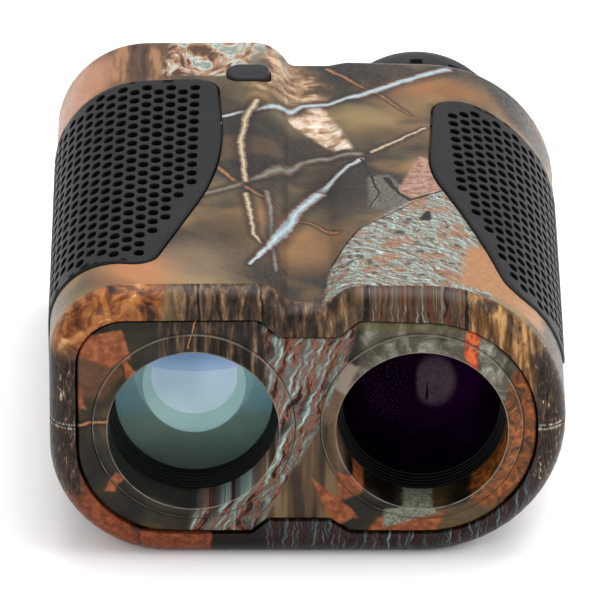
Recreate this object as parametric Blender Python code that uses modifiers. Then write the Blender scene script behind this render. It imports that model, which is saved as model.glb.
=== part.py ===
"""Handheld laser rangefinder: a two-window monocular with a camouflage-dipped clamshell housing.

The model is in metres, +Z up. The two windows look along -Y, the eyepiece along +Y, and +X is to
the right of someone facing the windows. The origin is the middle of the footprint, on the surface
that the housing rests on. Every named dimension below is in millimetres; `depth` is the distance
behind the front plate's face, and MID_DEPTH is the depth that lies at Y = 0.
"""

import math

import bmesh
import bpy
from mathutils import Matrix, Vector

MM = 0.001
GAP = 0.3

# Housing.
LEFT_WIDTH = (37.3, 38.0)
RIGHT_WIDTH = (37.3, 37.3)
HEIGHT = 42.0
SHELL_LENGTH = 95.0
MID_DEPTH = 53.0
WALL = 2.2
BACK_WALL = 2.4
SEAM_HEIGHT = 21.0
FRONT_ROUND = 3.6
FRONT_ROUND_DEPTH = 4.0
BACK_ROUND = 3.2
LEFT_TOP_RADIUS = (11.0, 14.0)
LEFT_BOTTOM_RADIUS = 17.0
RIGHT_BOTTOM_RADIUS = (21.0, 17.0)
RIGHT_TOP_RADIUS = (20.0, 19.6)
RIGHT_TOP_HEIGHT = (41.8, 37.7)
VALLEY_HEIGHT = (39.2, 38.1)
VALLEY_LEFT = (-5.3, -2.6)
VALLEY_RIGHT = (3.0, 5.8)
RIDGE_RISE = 0.9
RIDGE_RADIUS = 5.8
VALLEY_RADIUS = 1.5

# Optical axes.
AXIS_HEIGHT = 21.0
LENS_X = 16.5
BEZEL_BORE = 12.35
BEZEL_RADIUS = 14.45
BEZEL_PROUD = 1.3
BEZEL_LENGTH = 5.3
BARREL_BORE = 13.3
LENS_RADIUS = 12.9
LENS_EDGE_DEPTH = 10.7
LENS_EDGE = 2.0
LENS_SAG = 1.6

# Front plate.
PLATE_FACE = 0.3
PLATE_BACK = 2.2
PLATE_RIM = 0.3

# Eyepiece.
TUBE_RADIUS = 12.0
TUBE_BORE = 10.2
FLANGE_RADIUS = 12.9
TUBE_END = 101.6
DIOPTER_RADIUS = 15.1
DIOPTER_START = 95.4
DIOPTER_END = 102.0
DIOPTER_NOTCHES = 16
EYECUP_END = 107.3

# Battery bay, behind the receiver.
BATTERY_X = -18.3
BATTERY_HEIGHT = 20.0
BATTERY_RADIUS = 7.8
BATTERY_LENGTH = 27.0
CAP_FRONT = SHELL_LENGTH - 2.2
BATTERY_END = CAP_FRONT - 1.4
BATTERY_START = BATTERY_END - BATTERY_LENGTH
HOLDER_BORE = 8.2
CAP_HOLE = 10.8
CAP_RADIUS = 12.4

# Buttons.
POWER_X = -8.9
POWER_DEPTH = 80.6
POWER_SIZE = (6.2, 5.6)
POWER_FLANGE = (6.4, 8.2)
POWER_TOP = 42.4
MODE_DEPTH = 80.0
MODE_SIZE = (5.4, 3.6)
MODE_FACE = -38.5

# Grips: pads of ribbed rubber let into both flanks of the upper shell.
GRIP_PROUD = 0.3
GRIP_INNER = 0.8
GRIP_POCKET = 1.1

BODY_SEGMENTS = 32
SMALL_SEGMENTS = 20
ARC_STEPS = 5

for leftover in list(bpy.data.objects):
    bpy.data.objects.remove(leftover, do_unlink=True)

parts = bpy.data.collections.new("laser_rangefinder")
cutters = bpy.data.collections.new("cutters")
for collection in (parts, cutters):
    bpy.context.scene.collection.children.link(collection)


# ---------------------------------------------------------------- materials

def material(name, colour, roughness, metallic=0.0):
    made = bpy.data.materials.new(name)
    made.use_nodes = True
    shader = made.node_tree.nodes["Principled BSDF"]
    shader.inputs["Base Color"].default_value = (*colour, 1.0)
    shader.inputs["Roughness"].default_value = roughness
    shader.inputs["Metallic"].default_value = metallic
    return made


CAMO = material("camo_plastic", (0.16, 0.11, 0.07), 0.45)
RUBBER = material("black_rubber", (0.03, 0.03, 0.032), 0.75)
BLACK_PLASTIC = material("black_plastic", (0.02, 0.02, 0.022), 0.5)
BLACK_METAL = material("black_anodised", (0.02, 0.02, 0.02), 0.45, 0.6)
RECEIVER_GLASS = material("coated_receiver_glass", (0.30, 0.48, 0.52), 0.05)
VIEWING_GLASS = material("coated_viewing_glass", (0.10, 0.06, 0.12), 0.05)
CLEAR_GLASS = material("clear_glass", (0.75, 0.8, 0.8), 0.03)
STEEL = material("plated_steel", (0.55, 0.55, 0.56), 0.3, 1.0)
BRASS = material("brass_can", (0.60, 0.45, 0.20), 0.35, 1.0)
BOARD = material("circuit_board", (0.02, 0.16, 0.06), 0.5)
CELL = material("cell_sleeve", (0.25, 0.30, 0.36), 0.4)


# ---------------------------------------------------------------- outlines

def outline(corners, inset=0.0, steps=ARC_STEPS):
    """Points round a polygon whose corners (u, v, radius) are given anticlockwise, moved in by inset."""
    points = []
    count = len(corners)
    for i, (u, v, radius) in enumerate(corners):
        here = Vector((u, v))
        before = (here - Vector(corners[i - 1][:2])).normalized()
        after = (Vector(corners[(i + 1) % count][:2]) - here).normalized()
        turn = math.atan2(before.x * after.y - before.y * after.x, before.dot(after))
        side = 1.0 if turn >= 0 else -1.0
        start = here - before * radius * math.tan(abs(turn) / 2)
        normal = Vector((before.y, -before.x))
        centre = start - normal * side * radius
        for step in range(steps + 1):
            angle = turn * step / steps
            spoke = Matrix.Rotation(angle, 2) @ normal
            points.append(centre + spoke * (side * radius - inset))
    return points


def between(ends, share):
    return ends[0] + (ends[1] - ends[0]) * share


def housing_corners(depth):
    """The housing's cross-section: the right barrel sinks towards the eyepiece."""
    share = min(max(depth / SHELL_LENGTH, 0.0), 1.0)
    valley = between(VALLEY_HEIGHT, share)
    left = -between(LEFT_WIDTH, share)
    right = between(RIGHT_WIDTH, share)
    right_top = between(RIGHT_TOP_HEIGHT, share)
    return [
        (left, 0.0, LEFT_BOTTOM_RADIUS),
        (right, 0.0, between(RIGHT_BOTTOM_RADIUS, share)),
        (right, right_top, between(RIGHT_TOP_RADIUS, share)),
        (VALLEY_RIGHT[1], right_top + RIDGE_RISE * share, RIDGE_RADIUS),
        (VALLEY_RIGHT[0], valley, VALLEY_RADIUS),
        (VALLEY_LEFT[1], valley, VALLEY_RADIUS),
        (VALLEY_LEFT[0], HEIGHT, RIDGE_RADIUS),
        (left, HEIGHT - 0.2, between(LEFT_TOP_RADIUS, share)),
    ]


def plate_corners():
    """The front plate's outline, notched between the two windows at the top and at the bottom."""
    return [
        (-33.2, 4.2, 13.5),
        (-8.2, 4.2, 1.2),
        (-5.8, 6.2, 1.2),
        (3.2, 6.2, 1.2),
        (6.2, 4.2, 1.2),
        (33.0, 4.2, 15.9),
        (33.0, 36.8, 15.9),
        (7.4, 37.6, 1.5),
        (4.7, 35.0, 1.5),
        (-4.2, 35.0, 1.5),
        (-7.1, 37.7, 1.5),
        (-33.2, 37.5, 7.0),
    ]


# ---------------------------------------------------------------- mesh helpers

def at(x, depth, z):
    return Vector((x, depth - MID_DEPTH, z)) * MM


def add(name, mesh, finish, location=(0, 0, 0), rotation=(0, 0, 0)):
    """A named part or, without a finish, a cutter."""
    made = bpy.data.objects.new(name, mesh)
    made.location = location
    made.rotation_euler = rotation
    if finish is None:
        cutters.objects.link(made)
        made.hide_render = True
        made.display_type = "WIRE"
    else:
        parts.objects.link(made)
        mesh.materials.append(finish)
    return made


def mesh_from(name, bm):
    bmesh.ops.recalc_face_normals(bm, faces=bm.faces)
    mesh = bpy.data.meshes.new(name)
    bm.to_mesh(mesh)
    bm.free()
    return mesh


def stack(name, levels, place, finish):
    """A solid lofted through outlines; each level is (corners, inset, height)."""
    bm = bmesh.new()
    rings = []
    for corners, inset, height in levels:
        rings.append([bm.verts.new(place(p.x, p.y, height)) for p in outline(corners, inset)])
    for low, high in zip(rings, rings[1:]):
        for i in range(len(low)):
            j = (i + 1) % len(low)
            bm.faces.new((low[i], low[j], high[j], high[i]))
    bm.faces.new(rings[0])
    bm.faces.new(rings[-1])
    mesh = mesh_from(name, bm)
    mesh.shade_smooth()
    mesh.set_sharp_from_angle(angle=math.radians(30))
    return add(name, mesh, finish)


def along_depth(u, v, height):
    return at(u, height, v)


def along_height(u, v, height):
    return at(u, v, height)


def along_width(u, v, height):
    return at(height, u, v)


def box(name, x, depth, z, finish, bevel=0.0):
    """A block between three (low, high) pairs, with rounded edges."""
    bm = bmesh.new()
    size = Vector((x[1] - x[0], depth[1] - depth[0], z[1] - z[0])) * MM
    bmesh.ops.create_cube(bm, size=1.0, matrix=Matrix.Diagonal((*size, 1.0)))
    centre = at(sum(x) / 2, sum(depth) / 2, sum(z) / 2)
    made = add(name, mesh_from(name, bm), finish, centre)
    if bevel:
        rounding = made.modifiers.new("rounded_edges", "BEVEL")
        rounding.width = bevel * MM
        rounding.segments = 2
    return made


def turned(name, profile, finish, centre, segments=BODY_SEGMENTS, upright=False):
    """A solid of revolution: profile points are (radius, distance) and the axis runs along +Y, or +Z."""
    area = 0.0
    for (r0, d0), (r1, d1) in zip(profile, profile[1:] + profile[:1]):
        area += r0 * d1 - r1 * d0
    ordered = profile if area < 0 else profile[::-1]
    on_axis = [i for i, (r, _) in enumerate(ordered) if r == 0]
    if on_axis:
        # The points on the axis become the two ends of an open profile.
        while not (ordered[0][0] == 0 and ordered[-1][0] == 0):
            ordered = ordered[1:] + ordered[:1]
    bm = bmesh.new()
    verts = [bm.verts.new((r * MM, 0.0, d * MM)) for r, d in ordered]
    for first, second in zip(verts, verts[1:]):
        bm.edges.new((first, second))
    if not on_axis:
        bm.edges.new((verts[-1], verts[0]))
    mesh = bpy.data.meshes.new(name)
    bm.to_mesh(mesh)
    bm.free()
    tilt = (0, 0, 0) if upright else (-math.pi / 2, 0, 0)
    made = add(name, mesh, finish, at(*centre), tilt)
    screw = made.modifiers.new("turned", "SCREW")
    screw.axis = "Z"
    screw.steps = segments
    screw.render_steps = segments
    screw.use_merge_vertices = True
    screw.merge_threshold = 0.000001
    screw.use_smooth_shade = False
    return made


def cylinder(name, radius, start, end, finish, centre, segments=SMALL_SEGMENTS, upright=False):
    profile = [(0, end), (radius, end), (radius, start), (0, start)]
    return turned(name, profile, finish, centre, segments, upright)


def combine(target, tool, operation):
    boolean = target.modifiers.new(f"{operation.lower()}_{tool.name}", "BOOLEAN")
    boolean.operation = operation
    boolean.object = tool


def cut(target, *tools):
    for tool in tools:
        combine(target, tool, "DIFFERENCE")


def lens_profile(radius, edge_depth, edge, front_sag, back_sag, steps=3):
    """A lens section: spherical faces that bulge by front_sag and back_sag, with a plain edge."""
    points = []
    for step in range(steps + 1):
        r = radius * step / steps
        points.append((r, edge_depth - front_sag * (1 - (r / radius) ** 2)))
    for step in range(steps, -1, -1):
        r = radius * step / steps
        points.append((r, edge_depth + edge + back_sag * (1 - (r / radius) ** 2)))
    return points


# ---------------------------------------------------------------- grips

# Corners as (distance up and over from the seam, depth, radius), on the left and on the right flank.
LEFT_GRIP = [(1.2, 75.5, 3), (1.2, 17, 4), (30.6, 10.5, 3.5), (40.9, 46, 90), (39.3, 78.5, 4)]
RIGHT_GRIP = [(1.2, 77, 3), (1.2, 17, 4), (19.2, 11, 3.5), (29.9, 48, 40), (27.8, 79, 6)]


def skin_path(side, depth):
    """Points (x, z) of the housing's skin, from the seam up the flank and over the top."""
    per_corner = 9
    points = outline(housing_corners(depth), 0.0, per_corner - 1)
    if side > 0:
        run = points[2 * per_corner:4 * per_corner]
    else:
        run = points[6 * per_corner:8 * per_corner][::-1]
    above = [point for point in run if point.y > SEAM_HEIGHT]
    first = above[0]
    if len(above) == len(run):
        return [Vector((first.x, SEAM_HEIGHT))] + above
    last_below = run[-len(above) - 1]
    share = (SEAM_HEIGHT - last_below.y) / (first.y - last_below.y)
    return [last_below.lerp(first, share)] + above


def on_skin(side, distance, depth, lift):
    """The point at that distance up from the seam, lifted off the skin along its normal."""
    path = skin_path(side, depth)
    for start, end in zip(path, path[1:]):
        span = (end - start).length
        if distance <= span or end is path[-1]:
            break
        distance -= span
    run = (end - start).normalized()
    outward = Vector((run.y, -run.x)) * side
    point = start + run * distance + outward * lift
    return at(point.x, depth, point.y)


def grip_limits(corners, grow, distance):
    """The shallowest and the deepest point of the grip's outline at this distance from the seam."""
    ring = outline(corners, -grow, 10)
    depths = []
    for a, b in zip(ring, ring[1:] + ring[:1]):
        if min(a.x, b.x) <= distance <= max(a.x, b.x) and a.x != b.x:
            depths.append(a.y + (b.y - a.y) * (distance - a.x) / (b.x - a.x))
    return min(depths), max(depths)


def grip_patch(name, side, corners, grow, low, high, finish):
    """A pad that follows the skin between two lifts."""
    rows, columns = 12, 6
    ring = outline(corners, -grow, 10)
    first = min(p.x for p in ring) + 0.01
    last = max(p.x for p in ring) - 0.01
    bm = bmesh.new()
    sheets = {low: [], high: []}
    for row in range(rows + 1):
        distance = first + (last - first) * math.sin(math.pi / 2 * row / rows)
        front, back = grip_limits(corners, grow, distance)
        for lift, sheet in sheets.items():
            sheet.append([
                bm.verts.new(on_skin(side, distance, front + (back - front) * c / columns, lift))
                for c in range(columns + 1)
            ])
    for sheet in sheets.values():
        for r in range(rows):
            for c in range(columns):
                corner_set = (sheet[r][c], sheet[r][c + 1], sheet[r + 1][c + 1], sheet[r + 1][c])
                bm.faces.new(corner_set)
    border = [(0, c) for c in range(columns)] + [(r, columns) for r in range(rows)]
    border += [(rows, c) for c in range(columns, 0, -1)] + [(r, 0) for r in range(rows, 0, -1)]
    for (r0, c0), (r1, c1) in zip(border, border[1:] + border[:1]):
        inner, outer = sheets[low], sheets[high]
        bm.faces.new((inner[r0][c0], inner[r1][c1], outer[r1][c1], outer[r0][c0]))
    return add(name, mesh_from(name, bm), finish)


# ---------------------------------------------------------------- housing

def housing_levels():
    """The outer skin, from the rounded front lip to the rounded back."""
    levels = []
    for step in range(6):
        angle = math.pi / 2 * step / 5
        depth = FRONT_ROUND_DEPTH * (1 - math.cos(angle))
        levels.append((housing_corners(depth), FRONT_ROUND * (1 - math.sin(angle)), depth))
    levels.append((housing_corners(46), 0.0, 46.0))
    for step in range(4):
        angle = math.pi / 2 * step / 3
        depth = SHELL_LENGTH - BACK_ROUND * (1 - math.sin(angle))
        levels.append((housing_corners(depth), BACK_ROUND * (1 - math.cos(angle)), depth))
    return levels


def cavity_levels():
    back = SHELL_LENGTH - BACK_WALL
    taper = SHELL_LENGTH - BACK_ROUND
    return [
        (housing_corners(2.6), WALL + 0.9, 2.6),
        (housing_corners(FRONT_ROUND_DEPTH), WALL, FRONT_ROUND_DEPTH),
        (housing_corners(46), WALL, 46.0),
        (housing_corners(taper), WALL, taper),
        (housing_corners(back), WALL + 1.6, back),
    ]


REAR_SCREW = (-2.2, 77.0)
CRADLE_SCREWS = [(0.0, 12.0), (0.0, 58.0)]
BOSS_RADIUS = 2.6
SCREW_HOLE = 1.3
HEAD_HOLE = 2.5
REAR_HEAD_TOP = 6.0
CRADLE_HEAD_TOP = 1.3
STRAP_X = (-4.0, 2.0)
STRAP_DEPTH = SHELL_LENGTH - 1.8

cavity = stack("cavity", cavity_levels(), along_depth, None)
window = stack(
    "front_opening",
    [(plate_corners(), -PLATE_RIM, -1.0), (plate_corners(), -PLATE_RIM, 3.2)],
    along_depth,
    None,
)
BACK_CUT = (SHELL_LENGTH - 5.0, SHELL_LENGTH + 3.0)
EYE_AXIS = (LENS_X, 0, AXIS_HEIGHT)
BATTERY_AXIS = (BATTERY_X, 0, BATTERY_HEIGHT)
eyepiece_hole = cylinder("eyepiece_hole", TUBE_RADIUS + GAP, *BACK_CUT, None, EYE_AXIS, 40)
battery_hole = cylinder("battery_hole", CAP_HOLE, *BACK_CUT, None, BATTERY_AXIS, 40)


def button_outline(size, grow, centre, radius):
    half_u, half_v = size[0] / 2 + grow, size[1] / 2 + grow
    u, v = centre
    return [
        (u - half_u, v - half_v, radius),
        (u + half_u, v - half_v, radius),
        (u + half_u, v + half_v, radius),
        (u - half_u, v + half_v, radius),
    ]


power_outline = button_outline(POWER_SIZE, 0.0, (POWER_X, POWER_DEPTH), 1.8)
power_hole = stack(
    "power_hole",
    [(power_outline, -GAP, 38.0), (power_outline, -GAP, 44.0)],
    along_height,
    None,
)
power_flange = button_outline(POWER_FLANGE, 0.0, (POWER_X, POWER_DEPTH), 1.8)
power_relief = stack(
    "power_relief",
    [(power_flange, -GAP, 36.0), (power_flange, -GAP, 39.5)],
    along_height,
    None,
)
mode_outline = button_outline(MODE_SIZE, 0.0, (MODE_DEPTH, SEAM_HEIGHT), 1.6)
mode_hole = stack(
    "mode_hole",
    [(mode_outline, -GAP, -40.0), (mode_outline, -GAP, -34.0)],
    along_width,
    None,
)
upper_half = box("upper_half", (-60, 60), (-10, 120), (SEAM_HEIGHT + GAP / 2, 60), None)
lower_half = box("lower_half", (-60, 60), (-10, 120), (-20, SEAM_HEIGHT - GAP / 2), None)
left_pocket = grip_patch("left_grip_pocket", -1, LEFT_GRIP, GAP, -GRIP_POCKET, 1.5, None)
right_pocket = grip_patch("right_grip_pocket", 1, RIGHT_GRIP, GAP, -GRIP_POCKET, 1.5, None)
strap_block = box("strap_block", (-7, 5), (SHELL_LENGTH - 7.5, SHELL_LENGTH - 1.9), (1.8, 11.5), None)
strap_notch = box("strap_notch", STRAP_X, (SHELL_LENGTH - 5.0, SHELL_LENGTH + 2), (3.0, 9.5), None)
strap_bore = turned(
    "strap_bore",
    [(0, 5.8), (1.1, 5.8), (1.1, -5.8), (0, -5.8)],
    None,
    (sum(STRAP_X) / 2, STRAP_DEPTH, 6.2),
    16,
)
strap_bore.rotation_euler = (0, math.pi / 2, 0)


def shell(name, half):
    made = stack(name, housing_levels(), along_depth, CAMO)
    cut(made, cavity)
    upper = half is upper_half
    x, depth = REAR_SCREW
    span = (SEAM_HEIGHT, 37.0) if upper else (1.0, SEAM_HEIGHT)
    post = cylinder(f"{name}_post", BOSS_RADIUS, *span, None, (x, depth, 0), 16, True)
    combine(made, post, "UNION")
    if not upper:
        combine(made, strap_block, "UNION")
        cut(made, strap_notch, strap_bore)
    if upper:
        cut(made, cylinder(f"{name}_bore", SCREW_HOLE, 15.0, 30.0, None, (x, depth, 0), 12, True))
    else:
        screws = [(x, depth, REAR_HEAD_TOP)] + [(x, depth, CRADLE_HEAD_TOP) for x, depth in CRADLE_SCREWS]
        for i, (x, depth, head_top) in enumerate(screws):
            seat = head_top + GAP
            top = 22.0 if i == 0 else 4.0
            steps = [(0, top), (SCREW_HOLE, top), (SCREW_HOLE, seat)]
            steps += [(HEAD_HOLE, seat), (HEAD_HOLE, -2), (0, -2)]
            cut(made, turned(f"screw_hole_{i}", steps, None, (x, depth, 0), 16, True))
    cut(made, window, eyepiece_hole, battery_hole, mode_hole)
    if upper:
        cut(made, power_hole, power_relief, left_pocket, right_pocket)
    combine(made, half, "INTERSECT")
    return made


shell("upper_shell", upper_half)
shell("lower_shell", lower_half)

front_plate = stack(
    "front_plate",
    [
        (plate_corners(), 0.25, PLATE_FACE),
        (plate_corners(), 0.0, PLATE_FACE + 0.25),
        (plate_corners(), 0.0, PLATE_BACK),
    ],
    along_depth,
    CAMO,
)
for label, x in (("receiver", -LENS_X), ("viewing", LENS_X)):
    axis = (x, 0, AXIS_HEIGHT)
    cut(front_plate, cylinder(f"{label}_plate_hole", BEZEL_RADIUS + GAP, -2, 4, None, axis, 40))

grip_patch("left_grip", -1, LEFT_GRIP, 0.0, -GRIP_INNER, GRIP_PROUD, RUBBER)
grip_patch("right_grip", 1, RIGHT_GRIP, 0.0, -GRIP_INNER, GRIP_PROUD, RUBBER)


# ---------------------------------------------------------------- windows and barrels

BEZEL_PROFILE = [
    (BEZEL_BORE, BEZEL_LENGTH),
    (BEZEL_BORE, 0.15 - BEZEL_PROUD),
    (BEZEL_BORE + 0.15, -BEZEL_PROUD),
    (BEZEL_BORE + 0.4, -BEZEL_PROUD),
    (BEZEL_RADIUS, 0.1),
    (BEZEL_RADIUS, BEZEL_LENGTH),
]
BARREL_START = BEZEL_LENGTH + GAP
RING_END = 10.0
RING_PROFILE = [
    (BARREL_BORE - GAP, BARREL_START),
    (12.1, BARREL_START),
    (12.1, 7.0),
    (11.75, 7.0),
    (11.75, 8.4),
    (11.4, 8.4),
    (11.4, RING_END),
    (BARREL_BORE - GAP, RING_END),
]
SEAL_START = LENS_EDGE_DEPTH + LENS_EDGE + GAP
SEAL_PROFILE = [
    (BARREL_BORE - GAP, SEAL_START),
    (11.9, SEAL_START),
    (11.9, SEAL_START + 1.2),
    (BARREL_BORE - GAP, SEAL_START + 1.2),
]
SHOULDER = SEAL_START + 1.2 + GAP
OBJECTIVE_BARREL_END = 46.0
RECEIVER_BARREL_END = 44.0


def barrel_profile(end, end_radius):
    """A tube with a seat for the lens, tapering to its rear end."""
    return [
        (BEZEL_RADIUS, BARREL_START),
        (BARREL_BORE, BARREL_START),
        (BARREL_BORE, SHOULDER),
        (11.6, SHOULDER),
        (end_radius - 1.3, end),
        (end_radius, end),
        (BEZEL_RADIUS, SHOULDER + 4),
    ]


for label, x, glass in (("receiver", -LENS_X, RECEIVER_GLASS), ("viewing", LENS_X, VIEWING_GLASS)):
    axis = (x, 0, AXIS_HEIGHT)
    objective = "objective" if label == "viewing" else "receiver"
    turned(f"{label}_bezel", BEZEL_PROFILE, CAMO, axis)
    turned(f"{objective}_retaining_ring", RING_PROFILE, BLACK_METAL, axis, 24)
    lens = lens_profile(LENS_RADIUS, LENS_EDGE_DEPTH, LENS_EDGE, LENS_SAG, 1.0)
    turned(f"{objective}_lens", lens, glass, axis, 28)
    turned(f"{objective}_seal", SEAL_PROFILE, RUBBER, axis, SMALL_SEGMENTS)

turned(
    "objective_barrel",
    barrel_profile(OBJECTIVE_BARREL_END, 11.6),
    BLACK_METAL,
    (LENS_X, 0, AXIS_HEIGHT),
    24,
)
turned(
    "receiver_barrel",
    barrel_profile(RECEIVER_BARREL_END, 7.6),
    BLACK_METAL,
    (-LENS_X, 0, AXIS_HEIGHT),
    24,
)


# ---------------------------------------------------------------- receiver

RECEIVER_AXIS = (-LENS_X, 0, AXIS_HEIGHT)
cylinder("receiver_filter", 5.9, 44.3, 45.3, CLEAR_GLASS, RECEIVER_AXIS)
turned(
    "photodiode",
    [(0, 49.8), (4.2, 49.8), (4.2, 49.0), (3.4, 49.0), (3.4, 46.0), (0, 46.0)],
    BRASS,
    RECEIVER_AXIS,
    SMALL_SEGMENTS,
)
box("receiver_board", (-25.0, -8.0), (50.1, 51.3), (13.0, 29.0), BOARD)


# ---------------------------------------------------------------- viewing optics

PRISM_X = (5.0, 28.0)
PRISM_Z = (10.0, 32.0)
PRISM_DEPTH = (47.0, 71.0)
PRISM_WALL = 1.6

prism_housing = box("prism_housing", PRISM_X, PRISM_DEPTH, PRISM_Z, BLACK_PLASTIC)
prism_bay = box(
    "prism_bay",
    (PRISM_X[0] + PRISM_WALL, PRISM_X[1] - PRISM_WALL),
    (PRISM_DEPTH[0] - 2, PRISM_DEPTH[1] + 2),
    (PRISM_Z[0] + PRISM_WALL, PRISM_Z[1] - PRISM_WALL),
    None,
)
laser_port = cylinder("laser_port", 3.6, -3.0, 3.0, None, (PRISM_X[0], 55.0, AXIS_HEIGHT), 20)
laser_port.rotation_euler = (0, math.pi / 2, 0)
cut(prism_housing, prism_bay, laser_port)


def prism(name, side_points, finish):
    """A glass prism: its side view as (depth, z) points, across the width of the bay."""
    bm = bmesh.new()
    faces = []
    for x in (PRISM_X[0] + PRISM_WALL + GAP, PRISM_X[1] - PRISM_WALL - GAP):
        faces.append([bm.verts.new(at(x, depth, z)) for depth, z in side_points])
    near, far = faces
    bm.faces.new(near)
    bm.faces.new(far)
    for i in range(len(near)):
        j = (i + 1) % len(near)
        bm.faces.new((near[i], near[j], far[j], far[i]))
    return add(name, mesh_from(name, bm), finish)


PRISM_LOW = PRISM_Z[0] + PRISM_WALL + GAP
PRISM_HIGH = PRISM_Z[1] - PRISM_WALL - GAP
prism(
    "half_prism",
    [(48.5, PRISM_LOW), (58.5, PRISM_LOW), (50.5, PRISM_HIGH), (48.5, PRISM_HIGH)],
    CLEAR_GLASS,
)
prism(
    "roof_prism",
    [(59.2, PRISM_LOW), (69.5, PRISM_LOW), (69.5, PRISM_HIGH), (51.2, PRISM_HIGH)],
    CLEAR_GLASS,
)
box(
    "reticle_display",
    (LENS_X - 8, LENS_X + 8),
    (72.4, 73.6),
    (AXIS_HEIGHT - 7, AXIS_HEIGHT + 7),
    CLEAR_GLASS,
)

laser_emitter = turned(
    "laser_emitter",
    [(0, 4.6), (3.0, 4.6), (3.0, -4.0), (3.8, -4.0), (3.8, -5.0), (0, -5.0)],
    BRASS,
    (-0.4, 55.0, AXIS_HEIGHT),
    SMALL_SEGMENTS,
)
laser_emitter.rotation_euler = (0, math.pi / 2, 0)
box("laser_board", (-6.9, -5.7), (50.0, 60.0), (AXIS_HEIGHT - 5, AXIS_HEIGHT + 5), BOARD)


# ---------------------------------------------------------------- eyepiece

FLANGE_BACK = SHELL_LENGTH - BACK_WALL - GAP
turned(
    "eyepiece_tube",
    [
        (TUBE_BORE, 75.0),
        (TUBE_RADIUS, 75.0),
        (TUBE_RADIUS, FLANGE_BACK - 2),
        (FLANGE_RADIUS, FLANGE_BACK - 2),
        (FLANGE_RADIUS, FLANGE_BACK),
        (TUBE_RADIUS, FLANGE_BACK),
        (TUBE_RADIUS, TUBE_END),
        (TUBE_BORE, TUBE_END),
    ],
    BLACK_METAL,
    EYE_AXIS,
    24,
)
CELL_RADIUS = TUBE_BORE - GAP
CELL_BORE = 8.9
turned(
    "eyepiece_cell",
    [
        (CELL_RADIUS, 80.0),
        (CELL_RADIUS, 100.2),
        (CELL_BORE, 100.2),
        (CELL_BORE, 89.0),
        (7.8, 88.0),
        (CELL_BORE, 87.0),
        (CELL_BORE, 80.0),
    ],
    BLACK_METAL,
    EYE_AXIS,
    24,
)
turned("field_lens", lens_profile(CELL_BORE - GAP, 82.6, 1.2, 0.2, 1.0, 2), CLEAR_GLASS, EYE_AXIS, 20)
turned("eye_lens", lens_profile(CELL_BORE - GAP, 94.4, 2.0, 1.4, 1.4, 2), CLEAR_GLASS, EYE_AXIS, 20)

diopter_ring = turned(
    "diopter_ring",
    [
        (TUBE_RADIUS + GAP, DIOPTER_START),
        (DIOPTER_RADIUS - 0.8, DIOPTER_START),
        (DIOPTER_RADIUS, DIOPTER_START + 0.8),
        (DIOPTER_RADIUS, DIOPTER_END - 0.5),
        (DIOPTER_RADIUS - 0.5, DIOPTER_END),
        (TUBE_RADIUS + GAP, DIOPTER_END),
    ],
    BLACK_PLASTIC,
    EYE_AXIS,
    2 * DIOPTER_NOTCHES,
)
bm_notches = bmesh.new()
for notch in range(DIOPTER_NOTCHES):
    turn = Matrix.Rotation(2 * math.pi * (notch + 0.5) / DIOPTER_NOTCHES, 4, "Z")
    place = Matrix.Translation((DIOPTER_RADIUS * MM, 0, (DIOPTER_START + 3.0) * MM))
    scale = Matrix.Diagonal((1.0 * MM, 1.2 * MM, 2.6 * MM, 1))
    bmesh.ops.create_cube(bm_notches, size=1.0, matrix=turn @ place @ scale)
notch_mesh = mesh_from("diopter_notches", bm_notches)
notches = add("diopter_notches", notch_mesh, None, at(*EYE_AXIS), (-math.pi / 2, 0, 0))
cut(diopter_ring, notches)

turned(
    "eyecup",
    [
        (10.8, DIOPTER_END + GAP),
        (14.4, DIOPTER_END + GAP),
        (14.1, DIOPTER_END + 2.4),
        (13.2, EYECUP_END),
        (11.9, EYECUP_END),
        (11.0, DIOPTER_END + 2.4),
    ],
    RUBBER,
    EYE_AXIS,
    32,
)


# ---------------------------------------------------------------- battery

HOLDER_START = BATTERY_START - 3.4
CONTACT_START = BATTERY_START - 1.7
turned(
    "battery_holder",
    [
        (0, HOLDER_START),
        (9.6, HOLDER_START),
        (9.6, FLANGE_BACK),
        (HOLDER_BORE, FLANGE_BACK),
        (HOLDER_BORE, HOLDER_START + 1.4),
        (0, HOLDER_START + 1.4),
    ],
    BLACK_PLASTIC,
    BATTERY_AXIS,
    SMALL_SEGMENTS,
)
turned(
    "battery_contact",
    [
        (0, CONTACT_START),
        (6.0, CONTACT_START),
        (6.0, CONTACT_START + 0.4),
        (2.0, CONTACT_START + 1.4),
        (0, CONTACT_START + 1.4),
    ],
    STEEL,
    BATTERY_AXIS,
    SMALL_SEGMENTS,
)
turned(
    "battery",
    [
        (0, BATTERY_START),
        (3.2, BATTERY_START),
        (3.2, BATTERY_START + 0.9),
        (BATTERY_RADIUS - 0.5, BATTERY_START + 0.9),
        (BATTERY_RADIUS, BATTERY_START + 1.4),
        (BATTERY_RADIUS, BATTERY_END),
        (0, BATTERY_END),
    ],
    CELL,
    BATTERY_AXIS,
    SMALL_SEGMENTS,
)
CAP_START = SHELL_LENGTH + GAP
cylinder("cap_contact", 6.5, BATTERY_END + GAP, CAP_FRONT - GAP, STEEL, BATTERY_AXIS)
battery_cap = turned(
    "battery_cap",
    [
        (0, CAP_FRONT),
        (9.3, CAP_FRONT),
        (9.3, CAP_START),
        (CAP_RADIUS, CAP_START),
        (CAP_RADIUS, CAP_START + 1.6),
        (CAP_RADIUS - 0.8, CAP_START + 2.4),
        (0, CAP_START + 2.4),
    ],
    BLACK_PLASTIC,
    BATTERY_AXIS,
)
coin_slot = box(
    "coin_slot",
    (BATTERY_X - 7, BATTERY_X + 7),
    (CAP_START + 1.0, CAP_START + 4.0),
    (BATTERY_HEIGHT - 0.9, BATTERY_HEIGHT + 0.9),
    None,
)
cut(battery_cap, coin_slot)
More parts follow.
